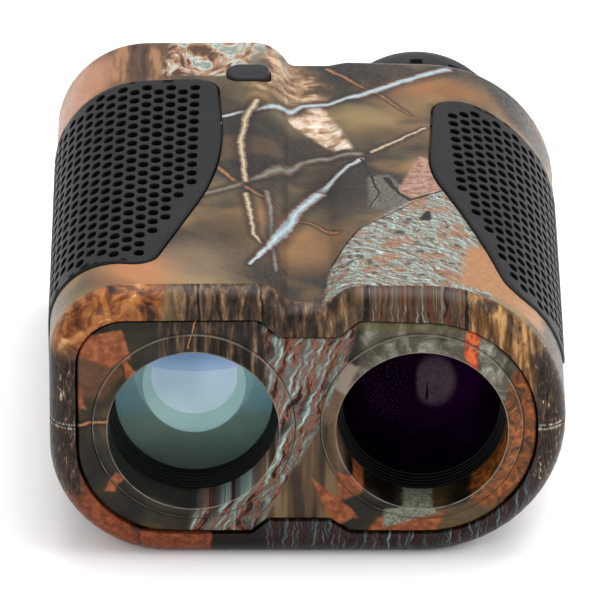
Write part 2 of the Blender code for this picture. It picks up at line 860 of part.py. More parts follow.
turned(
    "cap_seal",
    [
        (9.6, SHELL_LENGTH - 1.7),
        (10.5, SHELL_LENGTH - 1.7),
        (10.5, SHELL_LENGTH - 0.4),
        (9.6, SHELL_LENGTH - 0.4),
    ],
    RUBBER,
    BATTERY_AXIS,
    SMALL_SEGMENTS,
)


# ---------------------------------------------------------------- electronics

BOARD_TOP = 35.6
box("main_board", (-29.0, -7.2), (34.0, 83.0), (BOARD_TOP - 1, BOARD_TOP), BOARD)
box("processor_chip", (-24.0, -14.0), (44.0, 54.0), (BOARD_TOP + GAP, BOARD_TOP + 1.5), BLACK_PLASTIC)
box("hv_transformer", (-19.0, -11.0), (48.0, 56.0), (30.2, BOARD_TOP - 1 - GAP), BRASS, 0.5)
box(
    "power_switch",
    (POWER_X - 2.0, POWER_X + 2.0),
    (POWER_DEPTH - 2.2, POWER_DEPTH + 2.2),
    (BOARD_TOP + GAP, 37.4),
    STEEL,
    0.3,
)
box("side_board", (-31.0, -29.9), (72.5, 82.8), (15.0, 28.0), BOARD)
box("mode_switch", (-32.8, -31.3), (MODE_DEPTH - 2, MODE_DEPTH + 2), (19.2, 22.8), STEEL, 0.3)


# ---------------------------------------------------------------- buttons

power_button = stack(
    "power_button",
    [
        (power_flange, 0.0, 38.3),
        (power_flange, 0.0, 39.1),
        (power_outline, 0.0, 39.1),
        (power_outline, 0.0, POWER_TOP - 0.5),
        (power_outline, 0.15, POWER_TOP - 0.15),
        (power_outline, 0.55, POWER_TOP),
    ],
    along_height,
    RUBBER,
)
mode_flange = button_outline(MODE_SIZE, 0.8, (MODE_DEPTH, SEAM_HEIGHT), 1.6)
mode_button = stack(
    "mode_button",
    [
        (mode_flange, 0.0, -33.5),
        (mode_flange, 0.0, -34.3),
        (mode_outline, 0.0, -34.3),
        (mode_outline, 0.0, MODE_FACE + 0.4),
        (mode_outline, 0.4, MODE_FACE),
    ],
    along_width,
    RUBBER,
)


# ---------------------------------------------------------------- cradle and screws

def saddle(name, depth, objective_bore, receiver_bore, base):
    wall = box(name, (-17.5, 17.5), depth, (2.8, 11.5), None)
    for label, x, radius in (("o", LENS_X, objective_bore), ("r", -LENS_X, receiver_bore)):
        groove = cylinder(f"{name}_groove_{label}", radius, -10, 90, None, (x, 0, AXIS_HEIGHT), 32)
        cut(wall, groove)
    combine(base, wall, "UNION")


cradle = box("optics_cradle", (-15.0, 15.0), (9.0, 70.0), (2.6, 4.4), BLACK_PLASTIC)
saddle("front_saddle", (24.0, 27.0), 14.8, 14.2, cradle)
saddle("rear_saddle", (40.0, 43.0), 13.0, 13.0, cradle)
for x, depth in CRADLE_SCREWS:
    post = cylinder(f"cradle_post_{depth:.0f}", BOSS_RADIUS, 3.5, 9.0, None, (x, depth, 0), 16, True)
    combine(cradle, post, "UNION")
for x, depth in CRADLE_SCREWS:
    cut(cradle, cylinder(f"cradle_bore_{depth:.0f}", SCREW_HOLE, 0.0, 8.0, None, (x, depth, 0), 12, True))


def case_screw(name, x, depth, head_height, length):
    """A pan-head screw that points up, with a cross recess under its head."""
    low = head_height - 1.2
    made = turned(
        name,
        [
            (0, head_height + length),
            (0.8, head_height + length),
            (1.0, head_height + length - 0.6),
            (1.0, head_height),
            (2.2, head_height),
            (2.2, low + 0.3),
            (1.9, low),
            (0, low),
        ],
        STEEL,
        (x, depth, 0),
        16,
        True,
    )
    for label, half_x, half_y in (("a", 1.3, 0.3), ("b", 0.3, 1.3)):
        arm = box(
            f"{name}_recess_{label}",
            (x - half_x, x + half_x),
            (depth - half_y, depth + half_y),
            (low - 1, low + 0.7),
            None,
        )
        cut(made, arm)


case_screw("case_screw_rear", *REAR_SCREW, REAR_HEAD_TOP, 22.0)
for label, (x, depth) in zip(("front", "middle"), CRADLE_SCREWS):
    case_screw(f"case_screw_{label}", x, depth, CRADLE_HEAD_TOP, 6.2)

strap_bar = turned(
    "strap_bar",
    [(0, 5.2), (0.8, 5.2), (0.8, -5.2), (0, -5.2)],
    STEEL,
    (sum(STRAP_X) / 2, STRAP_DEPTH, 6.2),
    16,
)
strap_bar.rotation_euler = (0, math.pi / 2, 0)
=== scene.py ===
"""Looks of the handheld laser rangefinder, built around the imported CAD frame.

Lengths are in millimetres until at() turns them into metres. A place is given as x, depth and z,
where depth counts back from the front rim of the housing, as in the CAD part.
"""

import math
from functools import cache

import bmesh
import bpy
from mathutils import Matrix, Vector
from mathutils.geometry import delaunay_2d_cdt


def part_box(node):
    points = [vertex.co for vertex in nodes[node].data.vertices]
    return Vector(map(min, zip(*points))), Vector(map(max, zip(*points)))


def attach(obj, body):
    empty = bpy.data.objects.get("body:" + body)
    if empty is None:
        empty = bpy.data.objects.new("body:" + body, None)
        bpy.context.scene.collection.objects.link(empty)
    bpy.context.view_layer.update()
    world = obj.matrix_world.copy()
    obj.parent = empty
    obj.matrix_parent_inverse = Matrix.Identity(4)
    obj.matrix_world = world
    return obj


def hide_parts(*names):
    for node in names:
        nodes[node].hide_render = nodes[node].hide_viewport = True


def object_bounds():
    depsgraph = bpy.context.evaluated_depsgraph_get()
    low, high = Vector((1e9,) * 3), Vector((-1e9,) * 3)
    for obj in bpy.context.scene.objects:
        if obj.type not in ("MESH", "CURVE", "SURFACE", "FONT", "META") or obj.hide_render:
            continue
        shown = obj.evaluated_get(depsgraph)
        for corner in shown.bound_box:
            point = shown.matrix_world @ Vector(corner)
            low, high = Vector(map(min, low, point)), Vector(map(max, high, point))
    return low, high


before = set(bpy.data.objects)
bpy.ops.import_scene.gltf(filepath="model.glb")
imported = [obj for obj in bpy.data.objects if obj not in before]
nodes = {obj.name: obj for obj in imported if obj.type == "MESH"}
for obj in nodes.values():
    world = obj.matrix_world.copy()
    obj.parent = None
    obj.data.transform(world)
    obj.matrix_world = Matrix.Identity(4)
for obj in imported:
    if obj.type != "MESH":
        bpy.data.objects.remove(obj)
cad_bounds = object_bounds()

MM = 0.001
GAP = 0.3
FINE = 96


def middle(node):
    """The centre of a CAD node, in millimetres."""
    low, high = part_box(node)
    return (low + high) / 2 / MM


# ---- dimensions shared with the CAD

shell_low, shell_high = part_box("upper_shell")
MID_DEPTH = -shell_low.y / MM
SHELL_LENGTH = (shell_high.y - shell_low.y) / MM
LENS_X = middle("objective_lens").x
AXIS_HEIGHT = middle("objective_lens").z
BATTERY_X = middle("battery").x
BATTERY_HEIGHT = middle("battery").z

LEFT_WIDTH = (37.3, 38.0)
RIGHT_WIDTH = (37.3, 37.3)
HEIGHT = 42.0
WALL = 2.2
BACK_WALL = 2.4
SEAM_HEIGHT = 21.0
FRONT_ROUND = 3.6
FRONT_ROUND_DEPTH = 4.0
BACK_ROUND = 3.2
LEFT_TOP_RADIUS = (11.0, 14.0)
LEFT_BOTTOM_RADIUS = 17.0
RIGHT_BOTTOM_RADIUS = (21.0, 17.0)
RIGHT_TOP_RADIUS = (20.0, 19.6)
RIGHT_TOP_HEIGHT = (41.8, 37.7)
VALLEY_HEIGHT = (39.2, 38.1)
VALLEY_LEFT = (-5.3, -2.6)
VALLEY_RIGHT = (3.0, 5.8)
RIDGE_RISE = 0.9
RIDGE_RADIUS = 5.8
VALLEY_RADIUS = 1.5

BEZEL_BORE = 12.35
BEZEL_RADIUS = 14.45
BEZEL_LENGTH = 5.3
BEZEL_PROUD = 1.3
BEZEL_EDGE = 14.66
LENS_RADIUS = 12.9
LENS_EDGE_DEPTH = 10.7
PLATE_FACE = 0.3
PLATE_BACK = 2.2
PLATE_RIM = 0.3

TUBE_RADIUS = 12.0
DIOPTER_RADIUS = 15.1
DIOPTER_START = 95.4
DIOPTER_END = 102.0
DIOPTER_NOTCHES = 16
EYECUP_END = 107.3
CAP_HOLE = 10.8
CAP_RADIUS = 12.4

POWER_X = -8.9
POWER_DEPTH = 80.6
POWER_SIZE = (6.2, 5.6)
POWER_FLANGE = (6.4, 8.2)
POWER_TOP = 42.4
MODE_DEPTH = 80.0
MODE_SIZE = (5.4, 3.6)
MODE_FACE = -38.5

GRIP_PROUD = 0.3
GRIP_INNER = 0.8
GRIP_POCKET = 1.1
LEFT_GRIP = [(1.2, 75.5, 3), (1.2, 17, 4), (30.6, 10.5, 3.5), (40.9, 46, 90), (39.3, 78.5, 4)]
RIGHT_GRIP = [(1.2, 77, 3), (1.2, 17, 4), (19.2, 11, 3.5), (29.9, 48, 40), (27.8, 79, 6)]


# ---- mesh helpers

def at(x, depth, z):
    """The place in metres, in the frame's own axes."""
    return Vector((x, depth - MID_DEPTH, z)) * MM


def outline(corners, inset=0.0, steps=14):
    """Points round a polygon whose corners (u, v, radius) are given anticlockwise, moved in by inset."""
    points = []
    for i, (u, v, radius) in enumerate(corners):
        here = Vector((u, v))
        before = (here - Vector(corners[i - 1][:2])).normalized()
        after = (Vector(corners[(i + 1) % len(corners)][:2]) - here).normalized()
        turn = math.atan2(before.x * after.y - before.y * after.x, before.dot(after))
        side = 1.0 if turn >= 0 else -1.0
        start = here - before * radius * math.tan(abs(turn) / 2)
        normal = Vector((before.y, -before.x))
        centre = start - normal * side * radius
        for step in range(steps + 1):
            spoke = Matrix.Rotation(turn * step / steps, 2) @ normal
            points.append(centre + spoke * (side * radius - inset))
    return points


def between(ends, share):
    """The value that share of the way from the first end to the second."""
    return ends[0] + (ends[1] - ends[0]) * share


def housing_corners(depth):
    """The housing's cross-section: the right barrel sinks towards the eyepiece."""
    share = min(max(depth / SHELL_LENGTH, 0.0), 1.0)
    valley = between(VALLEY_HEIGHT, share)
    left = -between(LEFT_WIDTH, share)
    right = between(RIGHT_WIDTH, share)
    right_top = between(RIGHT_TOP_HEIGHT, share)
    return [
        (left, 0.0, LEFT_BOTTOM_RADIUS),
        (right, 0.0, between(RIGHT_BOTTOM_RADIUS, share)),
        (right, right_top, between(RIGHT_TOP_RADIUS, share)),
        (VALLEY_RIGHT[1], right_top + RIDGE_RISE * share, RIDGE_RADIUS),
        (VALLEY_RIGHT[0], valley, VALLEY_RADIUS),
        (VALLEY_LEFT[1], valley, VALLEY_RADIUS),
        (VALLEY_LEFT[0], HEIGHT, RIDGE_RADIUS),
        (left, HEIGHT - 0.2, between(LEFT_TOP_RADIUS, share)),
    ]


def plate_corners():
    """The front plate's outline, notched between the two windows at the top and at the bottom."""
    return [
        (-33.2, 4.2, 13.5), (-8.2, 4.2, 1.2), (-5.8, 6.2, 1.2), (3.2, 6.2, 1.2),
        (6.2, 4.2, 1.2), (33.0, 4.2, 15.9), (33.0, 36.8, 15.9), (7.4, 37.6, 1.5),
        (4.7, 35.0, 1.5), (-4.2, 35.0, 1.5), (-7.1, 37.7, 1.5), (-33.2, 37.5, 7.0),
    ]


def piece(name, bm, finish, sharp=35.0):
    """A new object from a bmesh, smooth except along edges sharper than the angle."""
    bmesh.ops.recalc_face_normals(bm, faces=bm.faces)
    mesh = bpy.data.meshes.new(name)
    bm.to_mesh(mesh)
    bm.free()
    mesh.shade_smooth()
    mesh.set_sharp_from_angle(angle=math.radians(sharp))
    made = bpy.data.objects.new(name, mesh)
    bpy.context.scene.collection.objects.link(made)
    if finish:
        mesh.materials.append(finish)
    return made


def along_depth(u, v, height):
    return at(u, height, v)


def along_height(u, v, height):
    return at(u, v, height)


def along_width(u, v, height):
    return at(height, u, v)


def band(bm, low, high, material=0):
    """A strip of quads between two rings of as many vertices."""
    for i in range(len(low)):
        j = (i + 1) % len(low)
        bm.faces.new((low[i], low[j], high[j], high[i])).material_index = material


def stack(name, levels, place, finish=None, steps=14):
    """A solid lofted through outlines; each level is (corners, inset, height)."""
    bm = bmesh.new()
    rings = []
    for corners, inset, height in levels:
        ring = outline(corners, inset, steps)
        rings.append([bm.verts.new(place(p.x, p.y, height)) for p in ring])
    for low, high in zip(rings, rings[1:]):
        band(bm, low, high)
    bm.faces.new(rings[0])
    bm.faces.new(rings[-1])
    return piece(name, bm, finish)


def prism(name, corners, grow, start, end, place):
    """A straight solid whose outline is grown on every side."""
    return stack(name, [(corners, -grow, start), (corners, -grow, end)], place)


def frame_axes(direction):
    """Two unit vectors across a unit direction."""
    helper = Vector((0, 0, 1)) if abs(direction.z) < 0.9 else Vector((1, 0, 0))
    first = helper.cross(direction).normalized()
    return first, direction.cross(first)


def turned(name, profile, finish, centre, direction=(0, 1, 0), segments=FINE, shape=None):
    """A closed turned body: (radius, distance) points round an axis; shape may change each point's radius."""
    axis = Vector(direction)
    first, second = frame_axes(axis)
    origin = Vector(centre)
    bm = bmesh.new()
    rings = []
    for index, (radius, distance) in enumerate(profile):
        if radius == 0:
            point = origin + axis * distance
            rings.append([bm.verts.new(at(*point))])
            continue
        ring = []
        for k in range(segments):
            angle = 2 * math.pi * k / segments
            r = shape(angle, index, radius) if shape else radius
            spoke = first * math.cos(angle) + second * math.sin(angle)
            ring.append(bm.verts.new(at(*(origin + axis * distance + spoke * r))))
        rings.append(ring)
    closed = profile[0][0] != 0
    pairs = list(zip(rings, rings[1:])) + ([(rings[-1], rings[0])] if closed else [])
    for low, high in pairs:
        for k in range(segments):
            n = (k + 1) % segments
            corners = [low[k % len(low)], low[n % len(low)], high[n % len(high)], high[k % len(high)]]
            distinct = list(dict.fromkeys(corners))
            if len(distinct) > 2:
                bm.faces.new(distinct)
    return piece(name, bm, finish)


def rounded(points, radius, steps=4):
    """The same profile with every corner but its two ends rounded off."""
    result = [points[0]]
    for before, here, after in zip(points, points[1:], points[2:]):
        a, b, c = Vector(before), Vector(here), Vector(after)
        reach = min(radius, (b - a).length * 0.45, (c - b).length * 0.45)
        start = b + (a - b).normalized() * reach
        end = b + (c - b).normalized() * reach
        for step in range(steps + 1):
            t = step / steps
            point = start * (1 - t) ** 2 + b * 2 * t * (1 - t) + end * t ** 2
            result.append((point.x, point.y))
    result.append(points[-1])
    return result


def rod(name, radius, start, end, centre, direction=(0, 1, 0), segments=64):
    profile = [(0, start), (radius, start), (radius, end), (0, end)]
    return turned(name, profile, None, centre, direction, segments)


def box(name, x, depth, z):
    """A block between two bounds (low, high) on each axis."""
    bm = bmesh.new()
    low, high = at(x[0], depth[0], z[0]), at(x[1], depth[1], z[1])
    matrix = Matrix.Translation((low + high) / 2) @ Matrix.Diagonal((*(high - low), 1.0))
    bmesh.ops.create_cube(bm, size=1.0, matrix=matrix)
    return piece(name, bm, None)


def carve(target, tools, operation="DIFFERENCE"):
    """Applies Booleans to the target, one tool after another, and removes the tools."""
    for tool in tools:
        modifier = target.modifiers.new(tool.name, "BOOLEAN")
        modifier.operation = operation
        modifier.object = tool
        settle(target)
        bpy.data.objects.remove(tool, do_unlink=True)
    return target


def settle(target):
    """Turns the target's modifiers into its mesh."""
    bpy.context.view_layer.update()
    graph = bpy.context.evaluated_depsgraph_get()
    mesh = bpy.data.meshes.new_from_object(target.evaluated_get(graph))
    target.modifiers.clear()
    target.data = mesh


def soften(target, width, angle):
    """Rounds the edges of a finished piece that are sharper than the angle."""
    bevel = target.modifiers.new("edges", "BEVEL")
    bevel.width = width * MM
    bevel.segments = 2
    bevel.limit_method = "ANGLE"
    bevel.angle_limit = math.radians(angle)
    bevel.use_clamp_overlap = True
    settle(target)
    target.data.shade_smooth()
    target.data.set_sharp_from_angle(angle=math.radians(50.0))


def stands_for(made, body, slot, *cad_nodes):
    """Makes the piece ride on a body and lets it replace CAD nodes; the slot argument is not used."""
    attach(made, body)
    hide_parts(*cad_nodes)


# ---- shader helpers

def rgb(code):
    """A linear colour from an sRGB hex code."""
    parts = [int(code[i:i + 2], 16) / 255 for i in (0, 2, 4)]
    return tuple(c / 12.92 if c <= 0.04045 else ((c + 0.055) / 1.055) ** 2.4 for c in parts)


class Paint:
    """A material wired by calling methods that return sockets. A node comes after the nodes that feed it."""

    def __init__(self, name):
        self.material = bpy.data.materials.new(name)
        self.material.use_nodes = True
        self.tree = self.material.node_tree
        self.tree.nodes.clear()
        self.shader = self.add("ShaderNodeBsdfPrincipled")
        self.output = self.add("ShaderNodeOutputMaterial")
        self.tree.links.new(self.shader.outputs["BSDF"], self.output.inputs["Surface"])

    def add(self, kind, **settings):
        node = self.tree.nodes.new(kind)
        for key, value in settings.items():
            setattr(node, key, value)
        return node

    def wire(self, socket, value):
        """Links a socket to another, or gives it a number, a vector or a colour (hex code or linear)."""
        if isinstance(value, bpy.types.NodeSocket):
            self.tree.links.new(value, socket)
        elif socket.type == "RGBA":
            socket.default_value = (*(rgb(value) if isinstance(value, str) else value), 1.0)
        else:
            socket.default_value = value

    def set(self, **values):
        """Sets the shader's own sockets."""
        for key, value in values.items():
            self.wire(self.shader.inputs[key.replace("_", " ")], value)

    def fill(self, sockets, values):
        for socket, value in zip(sockets, values):
            self.wire(socket, value)

    def math(self, operation, *values):
        node = self.add("ShaderNodeMath", operation=operation)
        self.fill(node.inputs, values)
        return node.outputs[0]

    def vector(self, operation, *values):
        node = self.add("ShaderNodeVectorMath", operation=operation)
        self.fill([s for s in node.inputs if s.enabled], values)
        return node.outputs["Value" if operation in ("LENGTH", "DISTANCE", "DOT_PRODUCT") else "Vector"]

    def both(self, *masks):
        """The product of several masks or shares."""
        result = masks[0]
        for mask in masks[1:]:
            result = self.math("MULTIPLY", result, mask)
        return result

    def apart(self, a, b):
        """How far two values are from each other."""
        return self.math("ABSOLUTE", self.math("SUBTRACT", a, b))

    def place(self):
        """Where on the object: x, depth and z in millimetres."""
        here = self.add("ShaderNodeTexCoord").outputs["Object"]
        scaled = self.vector("MULTIPLY", here, (1000.0, 1000.0, 1000.0))
        return self.vector("ADD", scaled, (0.0, MID_DEPTH, 0.0))

    def split(self, vector):
        axes = ((1.0, 0.0, 0.0), (0.0, 1.0, 0.0), (0.0, 0.0, 1.0))
        return tuple(self.vector("DOT_PRODUCT", vector, axis) for axis in axes)

    def join(self, x, y, z):
        node = self.add("ShaderNodeCombineXYZ")
        self.fill(node.inputs, (x, y, z))
        return node.outputs[0]

    def noise(self, vector, scale, detail=3.0, roughness=0.5, distortion=0.0,
              colour=False, fourth=None, stretch=None):
        """Noise on a place in millimetres, which may be stretched first or have a fourth coordinate."""
        if stretch:
            vector = self.vector("MULTIPLY", vector, stretch)
        node = self.add("ShaderNodeTexNoise")
        if fourth is not None:
            node.noise_dimensions = "4D"
            self.wire(node.inputs["W"], fourth)
        self.wire(node.inputs["Vector"], vector)
        settings = {"Scale": scale, "Detail": detail, "Roughness": roughness, "Distortion": distortion}
        for key, value in settings.items():
            node.inputs[key].default_value = value
        return node.outputs["Color" if colour else "Fac"]

    def cells(self, vector, scale):
        node = self.add("ShaderNodeTexVoronoi")
        self.wire(node.inputs["Vector"], vector)
        node.inputs["Scale"].default_value = scale
        return node.outputs["Distance"]

    def span(self, value, low, high, to_low=0.0, to_high=1.0):
        """Maps low..high smoothly to to_low..to_high and holds beyond."""
        node = self.add("ShaderNodeMapRange", interpolation_type="SMOOTHSTEP", clamp=False)
        self.fill(node.inputs, (value, low, high, to_low, to_high))
        return node.outputs[0]

    def ramp(self, value, stops):
        """Colours that blend from stop to stop; stops maps positions to hex codes."""
        node = self.add("ShaderNodeValToRGB")
        node.color_ramp.interpolation = "EASE"
        points = node.color_ramp.elements
        while len(points) < len(stops):
            points.new(0.5)
        for point, (position, colour) in zip(points, stops.items()):
            point.position = position
            point.color = (*rgb(colour), 1.0)
        self.wire(node.inputs[0], value)
        return node.outputs["Color"]

    def mix(self, factor, under, over):
        node = self.add("ShaderNodeMix", data_type="RGBA")
        self.wire(node.inputs["Factor"], factor)
        self.fill([s for s in node.inputs if s.type == "RGBA"], (under, over))
        return next(s for s in node.outputs if s.type == "RGBA")

    def shades(self, noise, dark, light):
        """Two colours mixed by the middle of a noise's range."""
        return self.mix(self.span(noise, 0.3, 0.7), dark, light)

    def bump(self, height, distance):
        node = self.add("ShaderNodeBump")
        node.inputs["Strength"].default_value = 1.0
        node.inputs["Distance"].default_value = distance * MM
        self.wire(node.inputs["Height"], height)
        self.wire(self.shader.inputs["Normal"], node.outputs[0])


# ---- plain finishes

def grained(name, dark, light, roughness, grain=3.0, depth=0.02, specular=0.5):
    """Moulded rubber or plastic: a fine grain with faint larger variation in shade and gloss."""
    paint = Paint(name)
    here = paint.place()
    fine = paint.noise(here, grain, 4.0, 0.6)
    wide = paint.noise(here, 0.12, 3.0)
    tone = paint.shades(wide, dark, light)
    paint.set(Base_Color=tone, Specular_IOR_Level=specular)
    paint.set(Roughness=paint.span(fine, 0.3, 0.7, roughness - 0.06, roughness + 0.06))
    paint.bump(fine, depth)
    return paint.material


def metal(name, dark, light, roughness, grain=0.6, metallic=1.0):
    """Machined or plated metal with fine turning marks."""
    paint = Paint(name)
    here = paint.place()
    marks = paint.noise(here, grain, 3.0, 0.6, stretch=(1.0, 9.0, 1.0))
    cloud = paint.noise(here, 0.25, 3.0)
    paint.set(Base_Color=paint.shades(cloud, dark, light), Metallic=metallic)
    paint.set(Roughness=paint.span(marks, 0.3, 0.7, roughness - 0.07, roughness + 0.07))
    paint.bump(marks, 0.008)
    return paint.material


def glass(name, tint, gloss_tint, haze=0.04, share=(0.06, 0.75)):
    """A lens or prism seen through: tinted, with a coated reflection that grows at grazing angles."""
    paint = Paint(name)
    here = paint.place()
    through = paint.add("ShaderNodeBsdfTransparent")
    shine = paint.add("ShaderNodeBsdfGlossy")
    blend = paint.add("ShaderNodeMixShader")
    cloud = paint.noise(here, 0.08, 2.0)
    paint.wire(through.inputs["Color"], paint.shades(cloud, tint, "ffffff"))
    shine.inputs["Roughness"].default_value = haze
    paint.wire(shine.inputs["Color"], gloss_tint)
    rim = paint.add("ShaderNodeLayerWeight")
    rim.inputs["Blend"].default_value = 0.35
    paint.wire(blend.inputs[0], paint.span(rim.outputs["Facing"], 0.0, 1.0, *share))
    paint.wire(blend.inputs[1], through.outputs[0])
    paint.wire(blend.inputs[2], shine.outputs[0])
    paint.wire(paint.output.inputs["Surface"], blend.outputs[0])
    paint.tree.nodes.remove(paint.shader)
    return paint.material


def board():
    """Green solder mask with copper tracks under it."""
    paint = Paint("solder_mask")
    here = paint.place()
    tracks = paint.cells(here, 0.35)
    lines = paint.span(paint.math("PINGPONG", paint.math("MULTIPLY", tracks, 4.0), 0.5), 0.1, 0.2)
    paint.set(Base_Color=paint.mix(lines, "1d6b3a", "0f4a28"), Roughness=0.35, Coat_Weight=0.5)
    paint.bump(lines, 0.02)
    return paint.material


grip_finish = grained("grip_rubber", "111113", "18181b", 0.5, 2.2, 0.03, 0.12)
# Painted shade: a darker, duller copy of the grip rubber for the walls and floors of its recesses.
recess_shade_finish = grained("grip_recess_shade", "040405", "080809", 0.8, 2.0, 0.02, 0.05)
button_finish = grained("button_rubber", "1a1a1d", "222225", 0.5, 3.0, 0.015, 0.15)
eyepiece_finish = grained("eyepiece_rubber", "151517", "1e1e21", 0.6, 2.5, 0.03, 0.2)
ring_finish = grained("moulded_black", "131315", "1b1b1e", 0.45, 3.5, 0.02, 0.15)
seal_finish = grained("seal_rubber", "151516", "1d1d1e", 0.6, 2.0)
barrel_finish = grained("black_anodised", "020203", "060607", 0.45, 1.5, 0.006, 0.12)
steel_finish = metal("nickel_steel", "8f8f92", "c4c4c6", 0.25)
brass_finish = metal("brass_can", "8c6a2c", "c39b4a", 0.28)
board_finish = board()
clear_finish = glass("clear_glass", "dfe9e6", "ffffff")
sleeve_finish = grained("battery_sleeve", "4a5560", "5a6672", 0.25, 0.6, 0.004)


# ---- camouflage

BLACK = "000000"
CRACK = "1b1613"
CRACK_EDGE = (1.2, 0.7)
TWIG_SHADOW = (3.2, 0.9)
TWIG_SHADE = 0.55
TWIG_EDGE = (1.15, 0.85)
TWIG_STOPS = (0.0, 0.45, 0.95)
RIDGE_SHIFT = 0.26
RIDGE_LIGHT = (2.6, 0.46)
HOLLOW = (0.48, 0.36)
HOLLOW_SHADE = 0.8


class Print(Paint):
    """A camouflage film: self.colour is built up in layers, each laid over the last by a mask."""

    def lay(self, mask, colour):
        self.colour = self.mix(mask, self.colour, colour)

    def patch(self, flat, points, soft, colour):
        """Lays a colour inside a convex outline."""
        self.lay(self.area(flat, points, soft), colour)

    def glow(self, flat, centre, size, soft, share, colour):
        """Lays a share of a colour in a soft round patch."""
        self.lay(self.both(self.blot(flat, centre, size, soft), share), colour)

    def crack(self, flat, points, width, colour=CRACK):
        """Lays a thin dark line."""
        self.lay(self.span(self.near_line(flat, points, width), *CRACK_EDGE), colour)

    def near_line(self, flat, points, width, tip=0.35):
        """Distance to a bent line over its half width: 0 on its axis, 1 at its edge. It narrows to tip."""
        best = None
        steps = len(points) - 1
        for k, (a, b) in enumerate(zip(points, points[1:])):
            run = Vector(b) - Vector(a)
            back = self.vector("SUBTRACT", flat, (*a, 0.0))
            share = run / run.length_squared
            along = self.math("MINIMUM", self.vector("DOT_PRODUCT", back, (*share, 0.0)), 1.0)
            along = self.math("MAXIMUM", along, 0.0)
            foot = self.add("ShaderNodeVectorMath", operation="SCALE")
            foot.inputs[0].default_value = (*run, 0.0)
            self.wire(foot.inputs["Scale"], along)
            gap = self.vector("DISTANCE", back, foot.outputs["Vector"])
            start, end = (between((width, width * tip), (k + s) / steps) for s in (0, 1))
            half = self.math("MULTIPLY_ADD", along, end - start, start)
            ratio = self.math("DIVIDE", gap, half)
            best = ratio if best is None else self.math("MINIMUM", best, ratio)
        return best

    def twig(self, flat, points, width, tones, tip):
        """A stick with a lit core, a warm edge and a soft shadow round it."""
        ratio = self.near_line(flat, points, width, tip)
        self.lay(self.both(self.span(ratio, *TWIG_SHADOW), TWIG_SHADE), BLACK)
        ratio = self.math("ADD", ratio, self.math("MULTIPLY_ADD", self.grain, 0.7, -0.35))
        tone = self.ramp(ratio, dict(zip(TWIG_STOPS, tones)))
        self.lay(self.span(ratio, *TWIG_EDGE), tone)

    def area(self, flat, points, soft):
        """1 inside a convex outline given anticlockwise, 0 outside it."""
        worst = None
        for a, b in zip(points, points[1:] + points[:1]):
            run = (Vector(b) - Vector(a)).normalized()
            normal = (run.y, -run.x, 0.0)
            offset = -Vector(normal[:2]).dot(Vector(a))
            side = self.math("ADD", self.vector("DOT_PRODUCT", flat, normal), offset)
            worst = side if worst is None else self.math("MAXIMUM", worst, side)
        return self.span(worst, soft, -soft)

    def blot(self, flat, centre, size, soft):
        """A soft round patch, stretched to size."""
        moved = self.vector("SUBTRACT", flat, (*centre, 0.0))
        scaled = self.vector("DIVIDE", moved, (*size, 1.0))
        return self.span(self.vector("LENGTH", scaled), 1.0 + soft / 2, 1.0 - soft / 2)

    def relief(self, across, along, pitch, stretch, colours, wave=0.6):
        """Bark in ridges: the difference of two shifted noises lights one flank of each ridge."""
        flat = self.join(across, along, 0.0)
        down = self.join(0.0, self.math("MULTIPLY", along, stretch), 0.0)
        bend = self.noise(flat, 0.11 / pitch, 3.0)
        across = self.math("MULTIPLY_ADD", bend, wave * 6.0 * pitch, across)
        first = self.math("MULTIPLY_ADD", self.noise(flat, 0.6 / pitch, 2.0), 1.3 * pitch, across)
        second = self.math("ADD", first, RIDGE_SHIFT * pitch)
        here = self.noise(down, 0.8 / pitch, 5.0, 0.68, fourth=first)
        there = self.noise(down, 0.8 / pitch, 5.0, 0.68, fourth=second)
        slope = self.math("MULTIPLY_ADD", self.math("SUBTRACT", there, here), *RIDGE_LIGHT)
        low = self.span(here, *HOLLOW)
        tone = self.ramp(slope, colours)
        return self.mix(self.both(low, HOLLOW_SHADE), tone, CRACK)


RAGGED = 0.9
FILM_CONTRAST = 1.35
BARK = {0.14: "17120f", 0.32: "6f3b24", 0.46: "5b4938", 0.60: "736a59", 0.76: "8f9a92", 0.94: "c4cac2"}


def flat_coordinates(paint, here):
    """Where on the top (x, depth) and on the front (x, z), both slightly ragged."""
    ragged = paint.noise(here, 0.55, 3.0, 0.6, colour=True)
    three = paint.add("ShaderNodeSeparateColor")
    paint.wire(three.inputs[0], ragged)
    shifts = [paint.math("MULTIPLY_ADD", part, RAGGED, -RAGGED / 2) for part in three.outputs]
    x, depth, z = (paint.math("ADD", a, b) for a, b in zip(paint.split(here), shifts))
    return paint.join(x, depth, 0.0), paint.join(x, z, 0.0)


def wood_floor(paint, here):
    """Out-of-focus forest floor: brown and olive with soft tan glows."""
    across = paint.vector("DOT_PRODUCT", here, (0.85, 0.53, 0.0))
    along = paint.vector("DOT_PRODUCT", here, (-0.24, 0.38, 0.0))
    wide = paint.noise(paint.join(across, along, 0.0), 0.055, 3.0, 0.5, 0.4)
    glow = paint.noise(paint.vector("ADD", here, (31.0, 7.0, 0.0)), 0.075, 2.0)
    base = paint.ramp(wide, {0.38: "1f1813", 0.46: "453a2c", 0.53: "6a5e49", 0.63: "9f8c68"})
    base = paint.mix(paint.span(glow, 0.52, 0.68, 0.0, 0.75), base, "b08d66")
    speck = paint.noise(here, 2.2, 2.0, 0.6)
    return paint.mix(paint.span(speck, 0.35, 0.7, 0.0, 0.22), base, "978468")


def finish_print(paint, shade_share, rough=0.33):
    """The satin clear coat over the film, whose colours gain contrast and are darkened by a share as painted
    shade, most on the top.
    """
    curve = paint.add("ShaderNodeGamma")
    curve.inputs["Gamma"].default_value = FILM_CONTRAST
    paint.wire(curve.inputs["Color"], paint.colour)
    paint.colour = paint.mix(shade_share, curve.outputs[0], BLACK)
    grain = paint.noise(paint.place(), 1.4, 2.0)
    paint.set(Base_Color=paint.colour, Coat_Weight=0.04, Coat_Roughness=0.3, Specular_IOR_Level=0.14)
    paint.set(Roughness=paint.span(grain, 0.3, 0.7, rough, rough + 0.12))
    return paint.material


